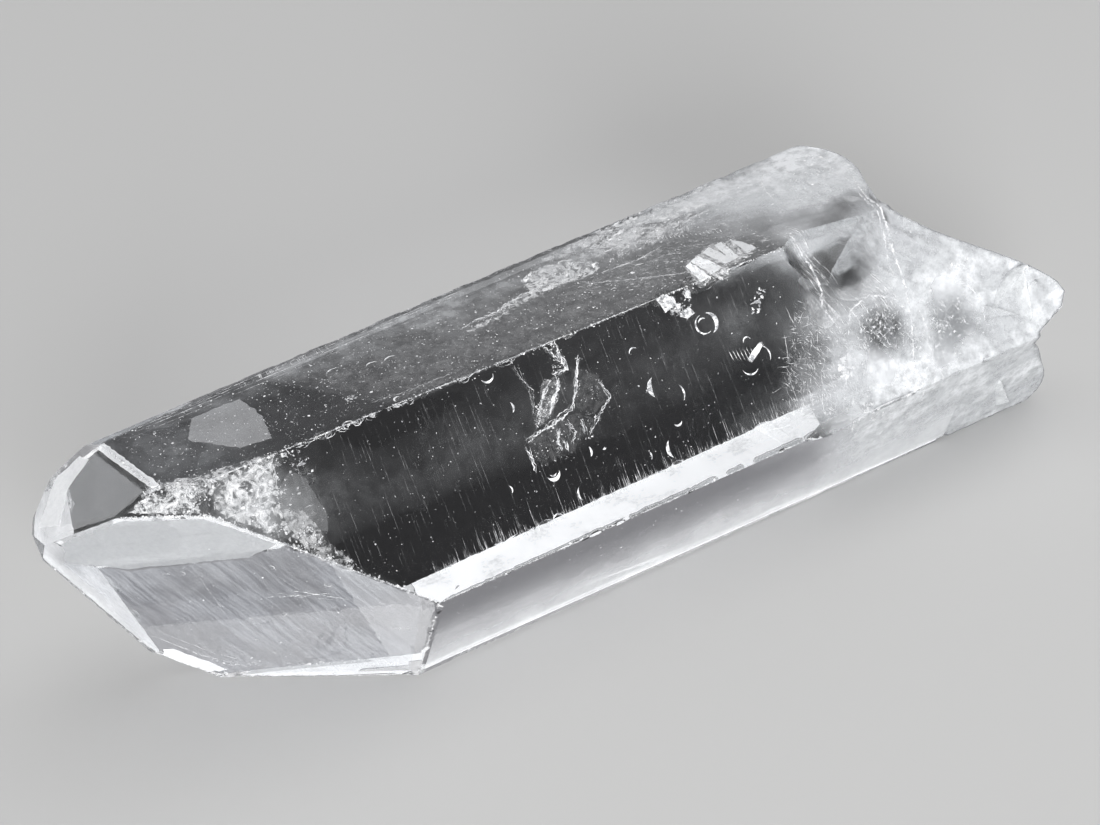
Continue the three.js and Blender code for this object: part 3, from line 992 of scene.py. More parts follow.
def growth_film():
    """Fine growth streaks on the large point face, in blue-grey and white, swirling here and there."""
    material, tree, place, white = inner_material("growth_film")
    parts = []
    for spot, scale in ((GROWTH_WAY, GROWTH_ALONG_SCALE), (GROWTH_ACROSS, GROWTH_ACROSS_SCALE)):
        way = on_face("point_front_low", *spot) - on_face("point_front_low", 0, 0)
        ends = {0: place, 1: way / np.linalg.norm(way) * scale}
        parts.append(tree.add("ShaderNodeVectorMath", ends, operation="DOT_PRODUCT").outputs["Value"])
    drawn = tree.add("ShaderNodeCombineXYZ", {0: parts[0], 1: parts[1]}).outputs[0]
    swirl = tree.add("ShaderNodeTexNoise", {"Vector": place, "Scale": 330.0, "Detail": 2.0}).outputs["Color"]
    bend = tree.add("ShaderNodeVectorMath", {0: swirl, 1: GROWTH_SWIRL}, operation="MULTIPLY").outputs[0]
    bent = tree.add("ShaderNodeVectorMath", {0: drawn, 1: bend}, operation="ADD").outputs[0]
    streaks = tree.noise(bent, 1.0, Detail=4.0, Roughness=0.6)
    drift = tree.noise(place, 260.0, Detail=2.0)
    alpha = tree.maths("MULTIPLY", white, tree.ramp(streaks, 0.32, 0.68, 0.5, 1.4))
    alpha = tree.maths("MULTIPLY", alpha, tree.ramp(drift, 0.35, 0.65, 0.5, 1.25))
    colour = tree.blend(tree.ramp(streaks, 0.35, 0.6), (0.42, 0.46, 0.52, 1.0), (0.7, 0.73, 0.77, 1.0))
    values = {"Base Color": colour, "Roughness": 0.6, "Specular IOR Level": 0.0, "Alpha": alpha}
    tree.end_principled(values)
    return material


# Crescent flaws under the face towards the front: x, aside, radius, start, sweep, width.
FRONT_CRESCENTS = (
    (13.55, -2.7, 0.62, -75, 150, 0.26),
    (13.4, -2.75, 0.55, 60, 210, 0.11),
    (13.35, -2.8, 0.30, 200, 120, 0.09),
    (9.5, -0.55, 0.75, 145, 95, 0.30),
    (9.9, 0.2, 0.75, -38, 80, 0.11),
    (9.1, 2.9, 0.70, 140, 90, 0.22),
    (1.4, 1.35, 0.42, 10, 150, 0.22),
    (1.4, 1.35, 0.22, 30, 130, 0.10),
    (2.9, 3.1, 0.55, 140, 90, 0.12),
    (0.7, 3.9, 0.35, 190, 160, 0.10),
    (0.3, -2.8, 0.40, -40, 95, 0.13),
    (3.6, 1.1, 0.45, -30, 80, 0.14),
    (9.6, 1.55, 0.28, 20, 140, 0.12),
    (7.0, 2.7, 0.35, -40, 90, 0.10),
    (-0.1, -4.95, 0.42, 10, 150, 0.13),
    (8.7, -2.8, 0.32, 190, 130, 0.09),
    (15.5, -0.9, 0.25, 180, 170, 0.09),
    (15.1, 0.35, 0.55, 40, 130, 0.10),
    (15.9, 0.2, 0.65, -60, 100, 0.08),
    (-1.5, 1.3, 0.30, -50, 100, 0.08),
)

# Crescents under the top face.
TOP_CRESCENTS = (
    (-6.2, -1.5, 0.62, 190, 120, 0.10),
    (-4.3, -0.8, 0.42, 200, 130, 0.09),
    (-3.2, -0.6, 0.45, 200, 120, 0.09),
    (-8.6, 3.7, 0.35, 100, 260, 0.11),
    (-5.2, 3.3, 0.30, 150, 160, 0.12),
)

# The feathery fracture under the front face: paths of (x, aside), width and depth.
FEATHER = (
    (((3.6, -5.4), (3.9, -4.8), (4.3, -4.0)), 0.07, 0.10),
    (((4.5, -5.2), (4.4, -4.5), (4.6, -3.9), (4.6, -3.5), (4.0, -3.4), (3.6, -3.6)), 0.12, 0.15),
    (((4.0, -3.2), (3.6, -2.6), (3.1, -2.1), (2.7, -1.5)), 0.20, 0.35),
    (((3.5, -3.3), (2.9, -2.8), (2.4, -2.3), (1.9, -1.6)), 0.10, 0.45),
    (((5.5, -3.8), (5.0, -3.1), (4.6, -2.3), (4.2, -1.8), (4.0, -1.3)), 0.11, 0.12),
    (((4.1, -1.5), (3.2, -1.3), (2.4, -1.0), (1.6, -0.9), (0.7, -0.7)), 0.11, 0.10),
    (((0.6, -0.6), (0.6, 0.1), (0.6, 0.7), (0.6, 1.0)), 0.10, 0.10),
    (((6.2, -2.2), (6.2, -1.6), (6.4, -1.1), (5.7, -0.7), (5.1, -0.3), (4.4, 0.3)), 0.07, 0.20),
    (((2.8, -0.7), (2.4, -0.1), (2.5, 0.6)), 0.14, 0.12),
    (((2.8, 0.0), (2.8, 0.7)), 0.11, 0.12),
    (((1.7, -4.9), (1.9, -4.0), (2.1, -3.2), (1.8, -2.1), (1.7, -1.3)), 0.03, 0.30),
    (((3.4, -0.9), (3.5, -0.2), (3.2, 0.4)), 0.09, 0.15),
    (((4.3, -0.6), (4.2, 0.1)), 0.10, 0.10),
)
# Patches of small flakes in that fracture: outline, how many, size, depths.
FEATHER_PATCHES = (
    (((5.3, -3.4), (6.3, -2.6), (6.2, -1.5), (5.4, -1.2), (4.5, -1.7)), 170, 0.022, (0.1, 0.6)),
    (
        ((0.6, -0.5), (2.1, -1.3), (4.0, -1.3), (5.7, -0.5), (4.7, 0.5), (3.0, 1.0), (1.0, 1.1)),
        300, 0.028, (0.05, 0.5),
    ),
    (((3.0, -3.5), (4.2, -3.2), (3.5, -2.1), (2.5, -1.3), (1.5, -1.1), (2.2, -2.4)), 560, 0.03, (0.2, 0.9)),
    (((4.0, -5.2), (4.7, -5.0), (4.7, -3.4), (3.6, -3.3)), 160, 0.028, (0.1, 0.3)),
)
# Faint veils that hang between those paths: how white, depth, outline.
FEATHER_VEILS = (
    (0.09, 0.5, ((3.0, -3.4), (4.0, -3.2), (3.4, -2.1), (2.5, -1.3), (1.6, -1.2), (2.3, -2.4))),
    (0.02, 0.3, ((4.8, -3.6), (6.2, -2.5), (6.3, -1.2), (5.2, -0.6), (4.2, -1.3))),
    (0.02, 0.4, ((0.8, -0.5), (2.2, -1.1), (4.0, -1.1), (5.0, -0.4), (3.0, 0.8), (1.0, 0.9))),
)


# Each path of it is drawn again and again, a little aside, deeper and thinner: how white, and its
# share of the width. Then how far aside and deeper.
FEATHER_COPIES = ((0.75, 0.8), (0.6, 0.45), (0.5, 0.3), (0.5, 0.22), (0.4, 0.18))
FEATHER_SHIFT = 0.08
# The bright bar beside the ring: its ends in (x, aside), how far its strokes spread, and how many.
BAR_ENDS = np.array(((15.05, 0.1), (16.25, -0.6)))
BAR_SPREAD = 0.18
BAR_STROKES = 5
# The comb of short lines above it: the first in (x, aside), how far on each next one is, how many.
COMB_FIRST = np.array(((14.2, -0.9), (14.3, -0.1)))
COMB_STEP = np.array((0.22, 0.05))
COMB_TEETH = 7


def make_front_flaws(material):
    """The ring, crescents, feather and lens of fracture that show through the face to the front."""
    flaws = Flaws(101)
    rng = flaws.rng
    front = face_normal("front_high")
    for x, aside, radius, start, sweep, width in FRONT_CRESCENTS:
        flaws.crescent("front_high", x, aside, radius, start, sweep, width)
    for spots, width, depth in FEATHER:
        for copy, (white, share) in enumerate(FEATHER_COPIES):
            shifted = [(x + rng.normal(0, FEATHER_SHIFT), a + rng.normal(0, FEATHER_SHIFT)) for x, a in spots]
            flaws.white = white
            line = line_on("front_high", shifted, depth + FEATHER_SHIFT * copy)
            flaws.wander(line, width * share, front, 0.03, 0.09)
    flaws.white = 0.8
    for outline, many, size, depth in FEATHER_PATCHES:
        flaws.field("front_high", outline, many, size, depth, clump=0.45, tilt=0.8, stretch=1.5)
    for white, depth, outline in FEATHER_VEILS:
        flaws.white = white
        flaws.veil("front_high", outline, depth, 0.06)
    flaws.white = 1.0
    for share in np.linspace(0, 1, BAR_STROKES):
        flaws.wander(line_on("front_high", BAR_ENDS + BAR_SPREAD * share), 0.13, front, 0.008)
    for tooth in range(COMB_TEETH):
        flaws.wander(line_on("front_high", COMB_FIRST + COMB_STEP * tooth), 0.035, front, 0.01)
    outline = ((20.2, 2.4), (21.4, 1.8), (21.6, 2.8), (20.4, 3.5))
    flaws.field("front_high", outline, 26, 0.16, (0.1, 0.3), tilt=0.3, stretch=2.2)
    outline = ((17.4, -3.4), (17.9, -3.2), (16.6, -1.8), (16.1, -2.0))
    flaws.field("front_high", outline, 34, 0.07, tilt=0.8, stretch=1.8)
    return flaws.piece("front_flaws", material)


# Needle cracks near the root: where in (x, aside), how many places are tried and how many used, and
# the ways they point, in degrees.
NEEDLE_ZONE = np.array((
    (18.0, 0.2), (20.0, -1.9), (21.5, -0.6), (22.9, 2.0), (22.4, 4.8), (18.3, 5.0), (16.2, 4.4),
))
NEEDLE_TRIES = 3000
NEEDLES = 900
NEEDLE_WAYS = (118, 66, 98, 150)
# Streaks up from the edge below the front face: how many, from X to X, and how far aside they start.
LOW_STREAKS = 620
LOW_STREAK_ENDS = (-7.2, 19)
LOW_STREAK_FOOT = 4.0
# Faint streaks over the whole front face: how many, and how far up they reach at most.
FAINT_STREAKS = 260
FAINT_STREAK_TOP = -5.0


def make_needles(material):
    """Sprays of fine needle cracks where the clear quartz turns milky, and streaks low on the front."""
    flaws = Flaws(102)
    front = face_normal("front_high")
    rng = flaws.rng
    spots = rng.uniform(NEEDLE_ZONE.min(0), NEEDLE_ZONE.max(0), (NEEDLE_TRIES, 2))
    for x, aside in spots[inside_outline(spots, NEEDLE_ZONE)][:NEEDLES]:
        turn = math.radians(rng.choice(NEEDLE_WAYS) + rng.normal(0, 14))
        long = 0.14 + rng.exponential(0.3)
        flaws.white = rng.uniform(0.3, 0.9)
        away = (x + long * math.cos(turn), aside - long * math.sin(turn))
        ends = ((x, aside), ((x + away[0]) / 2 + rng.normal(0, 0.04), (aside + away[1]) / 2), away)
        line = line_on("front_high", ends, rng.uniform(0.05, 1.4))
        flaws.wander(line, rng.uniform(0.012, 0.036), front, 0.012, 0.2)
    for _ in range(LOW_STREAKS):
        x = rng.uniform(*LOW_STREAK_ENDS)
        long = rng.exponential(0.34)
        flaws.white = rng.uniform(0.15, 0.7)
        foot = LOW_STREAK_FOOT
        ends = ((x, foot), (x + 0.02, foot - 0.2 - long / 2), (x + 0.05 * long, foot - 0.25 - long))
        line = line_on("front_high", ends, rng.uniform(0.03, 0.3))
        flaws.wander(line, rng.uniform(0.012, 0.035), front, 0.004, 0.3)
    for _ in range(FAINT_STREAKS):
        x, aside = rng.uniform(-13, 17), rng.uniform(-4.5, 3.5)
        long = rng.uniform(0.5, 3.0)
        flaws.white = rng.uniform(0.04, 0.16)
        ends = ((x, aside), (x + 0.02, aside - long / 2), (x + 0.04, max(FAINT_STREAK_TOP, aside - long)))
        flaws.wander(line_on("front_high", ends, 0.04), rng.uniform(0.012, 0.022), front, 0.003, 0.4)
    return flaws.piece("needle_cracks", material)


# The ragged crack under the top face: its path in (x, aside), how many lines follow it, and, in turn,
# how white those are and how wide.
RAGGED_CRACK = (
    (1.4, -0.9), (2.6, -1.0), (3.8, -1.1), (4.6, -1.3), (5.9, -1.7), (7.2, -1.7), (8.1, -1.5), (8.9, -1.5),
)
RAGGED_LINES = 9
RAGGED_KINDS = ((0.8, 0.10), (0.6, 0.05), (0.5, 0.03))
# Bands of flakes under the top face: outline, tiers, depths, and how the flakes lie.
TOP_BANDS = (
    (
        (
            (6.8, -3.1), (8.3, -3.8), (9.7, -3.3), (11.1, -2.2),
            (10.8, -1.2), (9.4, -1.3), (7.2, -1.2), (7.2, -2.6),
        ),
        ((20, 0.16, 0.9), (180, 0.08, 0.9), (500, 0.04, 0.7)), (0.05, 0.4),
        {"clump": 0.7, "tilt": 0.45, "stretch": 2.6, "heading": (0.6, -1.0)},
    ),
    (
        (
            (11.0, -4.6), (13.0, -5.1), (16.8, -5.5), (19.8, -5.7), (21.3, -5.3),
            (22.4, -3.5), (20.3, -3.3), (16.4, -3.0), (14.6, -2.8), (12.4, -3.3),
        ),
        ((40, 0.2, 0.95), (400, 0.09, 0.9), (1500, 0.05, 0.7)), (0.05, 0.8),
        {"clump": 1.0, "tilt": 0.4, "stretch": 2.4, "heading": (1.0, -0.3)},
    ),
    (
        ((14.5, 2.1), (16.7, 1.0), (18.5, 1.8), (18.8, 3.1), (16.7, 3.9), (13.9, 4.6), (14.1, 3.4)),
        ((120, 0.08, 0.9), (300, 0.04, 0.7)), (0.05, 0.4),
        {"tilt": 0.15, "stretch": 3.2, "heading": (-0.1, 1.0)},
    ),
)
# Long cracks there: path in (x, aside) and width. Each is drawn again, deeper and thinner: how white,
# and its share of the width.
TOP_CRACKS = (
    (((10.7, -0.7), (13.2, -0.5), (14.9, -0.8)), 0.06),
    (((9.3, -0.3), (11.9, 1.4), (14.8, 3.1)), 0.05),
    (((17.2, -2.1), (18.4, -2.5), (19.7, -2.5)), 0.06),
    (((-6.6, 2.5), (-4.8, 2.8), (-3.3, 2.9), (-1.4, 2.9)), 0.03),
    (((11.5, -2.9), (12.4, -2.6), (13.9, -2.7)), 0.08),
)
TOP_CRACK_COPIES = ((0.8, 1.0), (0.5, 0.6), (0.4, 0.5))
# The comb of short lines: where its row starts and ends, and how many they are.
TOP_COMB_ENDS = ((15.6, -1.8), (18.5, -0.1))
TOP_COMB_TEETH = 15
# Broken lines along the far edge: how far aside, how white, from X to X, and in how many breaks.
FAR_LINES = ((-3.6, 0.45), (-4.0, 0.9), (-4.25, 0.6), (-4.5, 0.9))
FAR_LINE_ENDS = (-19.2, 4.5)
FAR_LINE_BREAKS = 9
FAR_LINE_SLOPE = -0.012
# Short lines across them: from X to X, and how many.
CROSS_LINE_ENDS = (-11, -5)
CROSS_LINES = 26


def make_top_flaws(material):
    """The ragged fracture, flaky bands and streaks that show through the top face."""
    flaws = Flaws(103)
    up = face_normal("top")
    rng = flaws.rng
    for x, aside, radius, start, sweep, width in TOP_CRESCENTS:
        flaws.crescent("top", x, aside, radius, start, sweep, width)
    for copy in range(RAGGED_LINES):
        flaws.white, width = RAGGED_KINDS[copy % len(RAGGED_KINDS)]
        path = [(x, a + rng.normal(0, 0.1)) for x, a in RAGGED_CRACK[copy // 2:]]
        flaws.wander(line_on("top", path, 0.1 + 0.05 * copy), width, up, 0.04, 0.1)
    flaws.white = 0.75
    outline = ((1.4, -1.1), (5.0, -1.6), (9.0, -1.9), (9.0, -1.2), (4.0, -0.9))
    flaws.field("top", outline, 260, 0.035, (0.1, 0.5), tilt=0.8, stretch=1.8)
    for outline, tiers, depth, how in TOP_BANDS:
        flaws.spall("top", outline, tiers, depth, **how)
    for spots, width in TOP_CRACKS:
        for copy, (white, share) in enumerate(TOP_CRACK_COPIES):
            flaws.white = white
            flaws.wander(line_on("top", spots, 0.15 + 0.05 * copy), width * share, up, 0.04)
    flaws.white = 0.45
    outline = ((11.8, -1.6), (17.4, -1.2), (18.5, -2.6), (13.5, -2.6))
    flaws.field("top", outline, 500, 0.035, tilt=0.3, stretch=5.0, heading=(1.0, -1.2))
    outline = ((9.0, -1.0), (20.0, -1.0), (20.0, 3.8), (15.0, 3.9), (9.0, 1.0))
    flaws.field("top", outline, 700, 0.03, (0.05, 0.9), tilt=0.4, stretch=5.0, heading=(1.0, 0.6))
    for x, aside in np.linspace(*TOP_COMB_ENDS, TOP_COMB_TEETH):
        flaws.white = rng.uniform(0.6, 1.0)
        ends = ((x, aside), (x - 0.06, aside + 0.25), (x - 0.11, aside + 0.47))
        flaws.wander(line_on("top", ends, 0.06), 0.06, up, 0.008)
    for aside, white in FAR_LINES:
        breaks = np.sort(rng.uniform(*FAR_LINE_ENDS, FAR_LINE_BREAKS))
        for a, b in zip(breaks, breaks[1:]):
            flaws.white = white * rng.uniform(0.3, 1.0)
            ends = ((a, aside + FAR_LINE_SLOPE * a), (b, aside + FAR_LINE_SLOPE * b))
            flaws.wander(line_on("top", ends, 0.04), 0.055, up, 0.006, 0.3)
    for x in rng.uniform(*CROSS_LINE_ENDS, CROSS_LINES):
        flaws.white = rng.uniform(0.5, 0.9)
        flaws.wander(line_on("top", ((x, -3.9), (x + 0.15, -4.6)), 0.04), 0.045, up, 0.01)
    flaws.white = 1.0
    flaws.field("top", ((-7.4, 1.1), (-6.8, 1.1), (-6.8, 1.5), (-7.4, 1.5)), 60, 0.05, tilt=0.5)
    chip = ((11.7, -5.0), (13.3, -4.8), (13.0, -3.7), (12.2, -3.6), (11.4, -4.2))
    tiers = ((9, 0.38, 0.8), (30, 0.15, 0.9), (160, 0.05, 0.8))
    flaws.spall("front_high", chip, tiers, clump=0.8, tilt=0.6, stretch=1.7)
    return flaws.piece("top_flaws", material)


# Edges with their wear: the two faces, from X to X (or aside to aside), how many flecks, their size.
WORN_EDGES = (
    ("top", "front_high", -17.5, 19.5, 1900, 0.034),
    ("front_high", "front_low", -7.5, 28.0, 1100, 0.03),
    ("point_front_low", "front_high", -19.0, -7.8, 900, 0.045),
    ("point_front_low", "point_front_high", -21.6, -17.8, 420, 0.055),
    ("point_front_low", "front_low", -4.0, 3.6, 260, 0.04),
    ("front_low", "base", -8.0, 30.0, 800, 0.03),
    ("point_front_low", "base", -15.9, -7.8, 500, 0.05),
    ("point_front_low", "point_base", -19.1, -16.1, 160, 0.045),
    ("point_front_low", "point_back_low", -24.1, -19.4, 400, 0.04),
    ("point_top", "top", -3.8, 2.0, 340, 0.05),
    ("top", "ledge_near", -19.0, 8.0, 800, 0.025),
    ("ledge_near", "ledge_far", -19.0, 8.0, 600, 0.025),
    ("ledge_far", "back_high", -19.0, 8.0, 600, 0.03),
    ("back_high", "back_low", -15.0, 27.0, 900, 0.04),
    ("back_low", "base", -15.0, 28.0, 800, 0.04),
)


EDGE_WHITE = 0.85
# One in so many flecks has a larger one beside it, and how much larger that is.
LARGE_FLECKS = 9
LARGE_FLECK = 2.2
SHORTEST_WEAR = 0.3
# Curls where the edge between the top and the front is chipped: X, and how many.
EDGE_CURLS = ((-11.3, 9), (-9.9, 6), (-8.4, 7), (-5.3, 12), (-1.2, 8), (1.0, 9), (3.9, 5), (-7.7, 9))


def make_edge_wear(material):
    """A thin white line and small flecks where the edges are worn, and curls where they are chipped."""
    flaws = Flaws(104)
    rng = flaws.rng
    for first, second, start, end, many, size in WORN_EDGES:
        flaws.white = EDGE_WHITE
        flaws.along_edge(first, second, start, end, many, size, 0.03, tilt=0.8)
        flaws.along_edge(first, second, start, end, many // LARGE_FLECKS, size * LARGE_FLECK, 0.05, tilt=0.8)
        place = across_edge if FACES[first][0] == FACES[second][0] else on_edge
        inward = -0.03 * (face_normal(first) + face_normal(second))
        breaks = np.sort(rng.uniform(start, end, max(3, int(abs(end - start)))))
        for a, b in zip(breaks, breaks[1:]):
            flaws.white = rng.uniform(0.3, 0.9)
            ends = [place(first, second, a) + inward, place(first, second, b) + inward]
            if b - a > SHORTEST_WEAR:
                flaws.wander(ends, rng.uniform(0.02, 0.045), inward, 0.006, 0.2)
    for x, many in EDGE_CURLS:
        flaws.white = EDGE_WHITE
        for _ in range(many):
            middle = on_edge("top", "front_high", x + rng.normal(0, 0.35))
            middle = middle - face_normal("front_high") * 0.05 - face_normal("top") * 0.05
            turn = rng.uniform(0, 2 * np.pi) + np.linspace(0, rng.uniform(1.5, 4), 8)
            curl = np.stack([np.cos(turn), 0.5 * np.sin(turn), -0.5 * np.abs(np.sin(turn)) - 0.2], 1)
            flaws.strand(middle + curl * rng.uniform(0.12, 0.34), np.full(6, 0.03), face_normal("top"), 0.8)
    return flaws.piece("edge_wear", material)


# The rough patch beside the point, on the three faces that it spreads over: face, its share of the
# flakes, and outline in (x, aside).
TIP_PATCH = (
    ("top", 0.25, ((-20.0, 0.9), (-17.2, 2.5), (-14.9, 2.9), (-12.6, 3.5), (-12.2, 4.6), (-20.0, 4.6))),
    ("front_high", 0.45, (
        (-18.5, -5.6), (-12.0, -5.6), (-11.4, -4.6), (-12.4, -3.3), (-13.3, -2.0), (-11.9, 0.0),
        (-10.6, 2.9), (-16.5, -1.0),
    )),
    ("point_front_high", 0.25, ((-20.6, -5.6), (-19.6, -6.4), (-17.8, -5.6), (-17.8, -3.9))),
)
TIP_TRIES = 26000
TIP_FLAKES = 2600
TIP_CLUMPS = ((1.0, 0.8), (0.6, 0.35))


def make_tip_patch(material):
    """The rough sugary patch beside the point."""
    flaws = Flaws(105)
    rng = flaws.rng
    for face, share, outline in TIP_PATCH:
        outline = np.array(outline)
        spots = rng.uniform(outline.min(0), outline.max(0), (int(TIP_TRIES * share), 2))
        spots = spots[inside_outline(spots, outline)]
        places = np.array([on_face(face, x, aside) for x, aside in spots])
        spots = spots[waves(places, TIP_CLUMPS, 81) > rng.uniform(-0.5, 1.3, len(spots))]
        for x, aside in spots[:int(TIP_FLAKES * share)]:
            flaws.white = rng.uniform(0.2, 0.95)
            centre = on_face(face, x, aside, rng.uniform(0.04, 0.4))[None]
            if signed_distances(centre).max() < -flaws.UNDER_FACES:
                flaws.shards(centre, face_normal(face)[None], 0.045, stretch=1.6, tilt=0.8)
    return flaws.piece("tip_patch", material)


# Specks: the face, from X to X and aside to aside, how many, and their size against the sizes below.
SPECKS = (
    ("top", -19, 20, -4.5, 4.2, 4200, 0.9),
    ("front_high", -12, 19, -5, 3.6, 420, 0.72),
    ("front_low", -7, 20, -3.8, 3.8, 240, 0.8),
    ("point_front_low", -23, -8, -6.5, 7, 320, 0.9),
    ("back_high", -14, 18, -4.2, 4.2, 400, 0.8),
    ("back_low", -12, 18, -4.2, 4.2, 400, 0.8),
)
# Small, middling and large ones: how white, what share of them all, size.
SPECK_SIZES = ((0.9, 0.75, 0.042), (1.0, 0.22, 0.06), (1.0, 0.03, 0.09))


def make_specks(material):
    """Small specks just under the faces."""
    flaws = Flaws(106)
    for face, start, end, low, high, many, scale in SPECKS:
        outline = ((start, low), (end, low), (end, high), (start, high))
        for white, share, size in SPECK_SIZES:
            flaws.white = white
            flaws.field(face, outline, int(many * share), size * scale, (0.02, 0.3), tilt=1.0, corners=4)
    return flaws.piece("specks", material)


# Marks on the large point face: paths of (x, aside), width and how white.
POINT_FACE_MARKS = (
    (((-14.1, -2.4), (-12.8, -2.45), (-11.4, -2.5)), 0.05, 0.9),
    (((-14.8, -1.3), (-13.5, -2.0), (-12.2, -2.8)), 0.05, 0.9),
    (((-14.4, -1.9), (-12.0, -2.2)), 0.03, 0.6),
    (((-18.4, -3.7), (-16.1, 1.6), (-15.5, 3.4)), 0.05, 0.22),
    (((-15.8, -4.7), (-13.5, -2.6), (-11.3, 1.7)), 0.05, 0.2),
    (((-19.3, 4.5), (-17.0, 5.7), (-14.8, 6.1)), 0.06, 0.5),
    (((-19.0, 4.0), (-16.4, 5.3), (-14.2, 5.6)), 0.04, 0.35),
    (((-14.0, -0.2), (-13.8, 0.0), (-13.9, 0.3)), 0.10, 0.7),
    (((-15.3, 1.0), (-15.1, 1.2)), 0.10, 0.7),
    (((-14.0, 4.1), (-13.8, 4.15)), 0.08, 0.8),
)


# Faint scratches all over it: how many, and the way they run in (x, aside).
SCRATCHES = 150
SCRATCH_MIDDLE, SCRATCH_END = np.array((0.2, 0.45)), np.array((0.37, 0.93))
# Pits in it, in (x, aside).
PITS = ((-14.9, -4.3), (-19.1, -1.8), (-18.5, -2.2), (-12.4, -3.6))


def make_point_face_flaws(material):
    """Growth lines, scratches and pits on the large point face."""
    flaws = Flaws(109)
    rng = flaws.rng
    face = "point_front_low"
    out = face_normal(face)
    for spots, width, white in POINT_FACE_MARKS:
        flaws.white = white
        flaws.wander(line_on(face, spots, 0.05), width, out, 0.02)
    for _ in range(SCRATCHES):
        spot = np.array((rng.uniform(-19, -9.5), rng.uniform(-4, 5)))
        long = rng.uniform(0.5, 2.6)
        flaws.white = rng.uniform(0.04, 0.16)
        ends = (spot, spot + SCRATCH_MIDDLE * long, spot + SCRATCH_END * long)
        flaws.wander(line_on(face, ends, 0.04), rng.uniform(0.015, 0.04), out, 0.01, 0.3)
    flaws.white = 0.8
    for x, aside in PITS:
        flaws.crescent(face, x, aside, 0.16, rng.uniform(0, 360), 250, 0.05, 0.05)
    outline = ((-16.2, 6.6), (-8.2, 3.5), (-8.0, 2.7), (-12.5, 4.6), (-16.5, 6.0))
    flaws.field(face, outline, 260, 0.05, (0.03, 0.2), tilt=0.9)
    return flaws.piece("point_face_flaws", material)


# Cracks and ridges over the broken root: paths of (x, direction round the axis), width, how white.
ROOT_LINES = (
    (((28.6, 78), (26.9, 108), (26.4, 130), (26.3, 146), (25.8, 163), (24.8, 180), (25.4, 200)), 0.12, 0.7),
    (((27.8, 84), (26.5, 112), (26.1, 132), (25.9, 146)), 0.08, 0.5),
    (((21.6, 158), (22.3, 149), (23.8, 146), (25.2, 151), (25.9, 160)), 0.10, 0.45),
    (((26.4, 158), (28.0, 154), (30.0, 157), (30.6, 166), (30.3, 175)), 0.10, 0.35),
    (((20.9, 112), (21.4, 124), (21.2, 136), (20.8, 143)), 0.12, 0.6),
    (((26.4, 150), (26.6, 165), (26.3, 178), (26.4, 190)), 0.08, 0.45),
    (((22.9, 84), (23.4, 72), (24.4, 64)), 0.10, 0.4),
    (((27.0, 205), (29.5, 203), (31.6, 196), (33.0, 190)), 0.08, 0.35),
)


# Each of those is drawn again, deeper and fainter: its share of the whiteness and of the width.
ROOT_LINE_COPIES = ((1.0, 1.0), (0.6, 0.5), (0.5, 0.4))
# Curved ribs where the front breaks off: how many, and what share of them starts further in.
ROOT_RIBS = 64
INNER_RIBS = 0.4
# Crowds of flakes: X, direction round the axis, how long in mm, how wide in degrees, how many, size.
ROOT_CROWDS = (
    (30.3, 150, 1.3, 3, 260, 0.08), (22.5, 190, 2.4, 10, 420, 0.10), (25.0, 183, 2.5, 8, 300, 0.08),
    (27.3, 74, 2.2, 14, 420, 0.07), (33.5, 165, 1.2, 25, 260, 0.07), (24.0, 161, 2.2, 10, 300, 0.045),
    (28.5, 169, 2.6, 10, 300, 0.045),
)
# Sprays of short upright cracks: X and direction round the axis, and how many in each.
ROOT_SPRAYS = ((24.0, 161), (28.5, 169), (25.6, 176), (22.2, 168))
SPRAY_CRACKS = 60
# Flakes all through the milk: beyond which X, under how much quartz, and how many places are tried.
MILK_FLAKES_START = 15
MILK_FLAKES_DEPTH = 0.35
MILK_FLAKE_TRIES = 16000


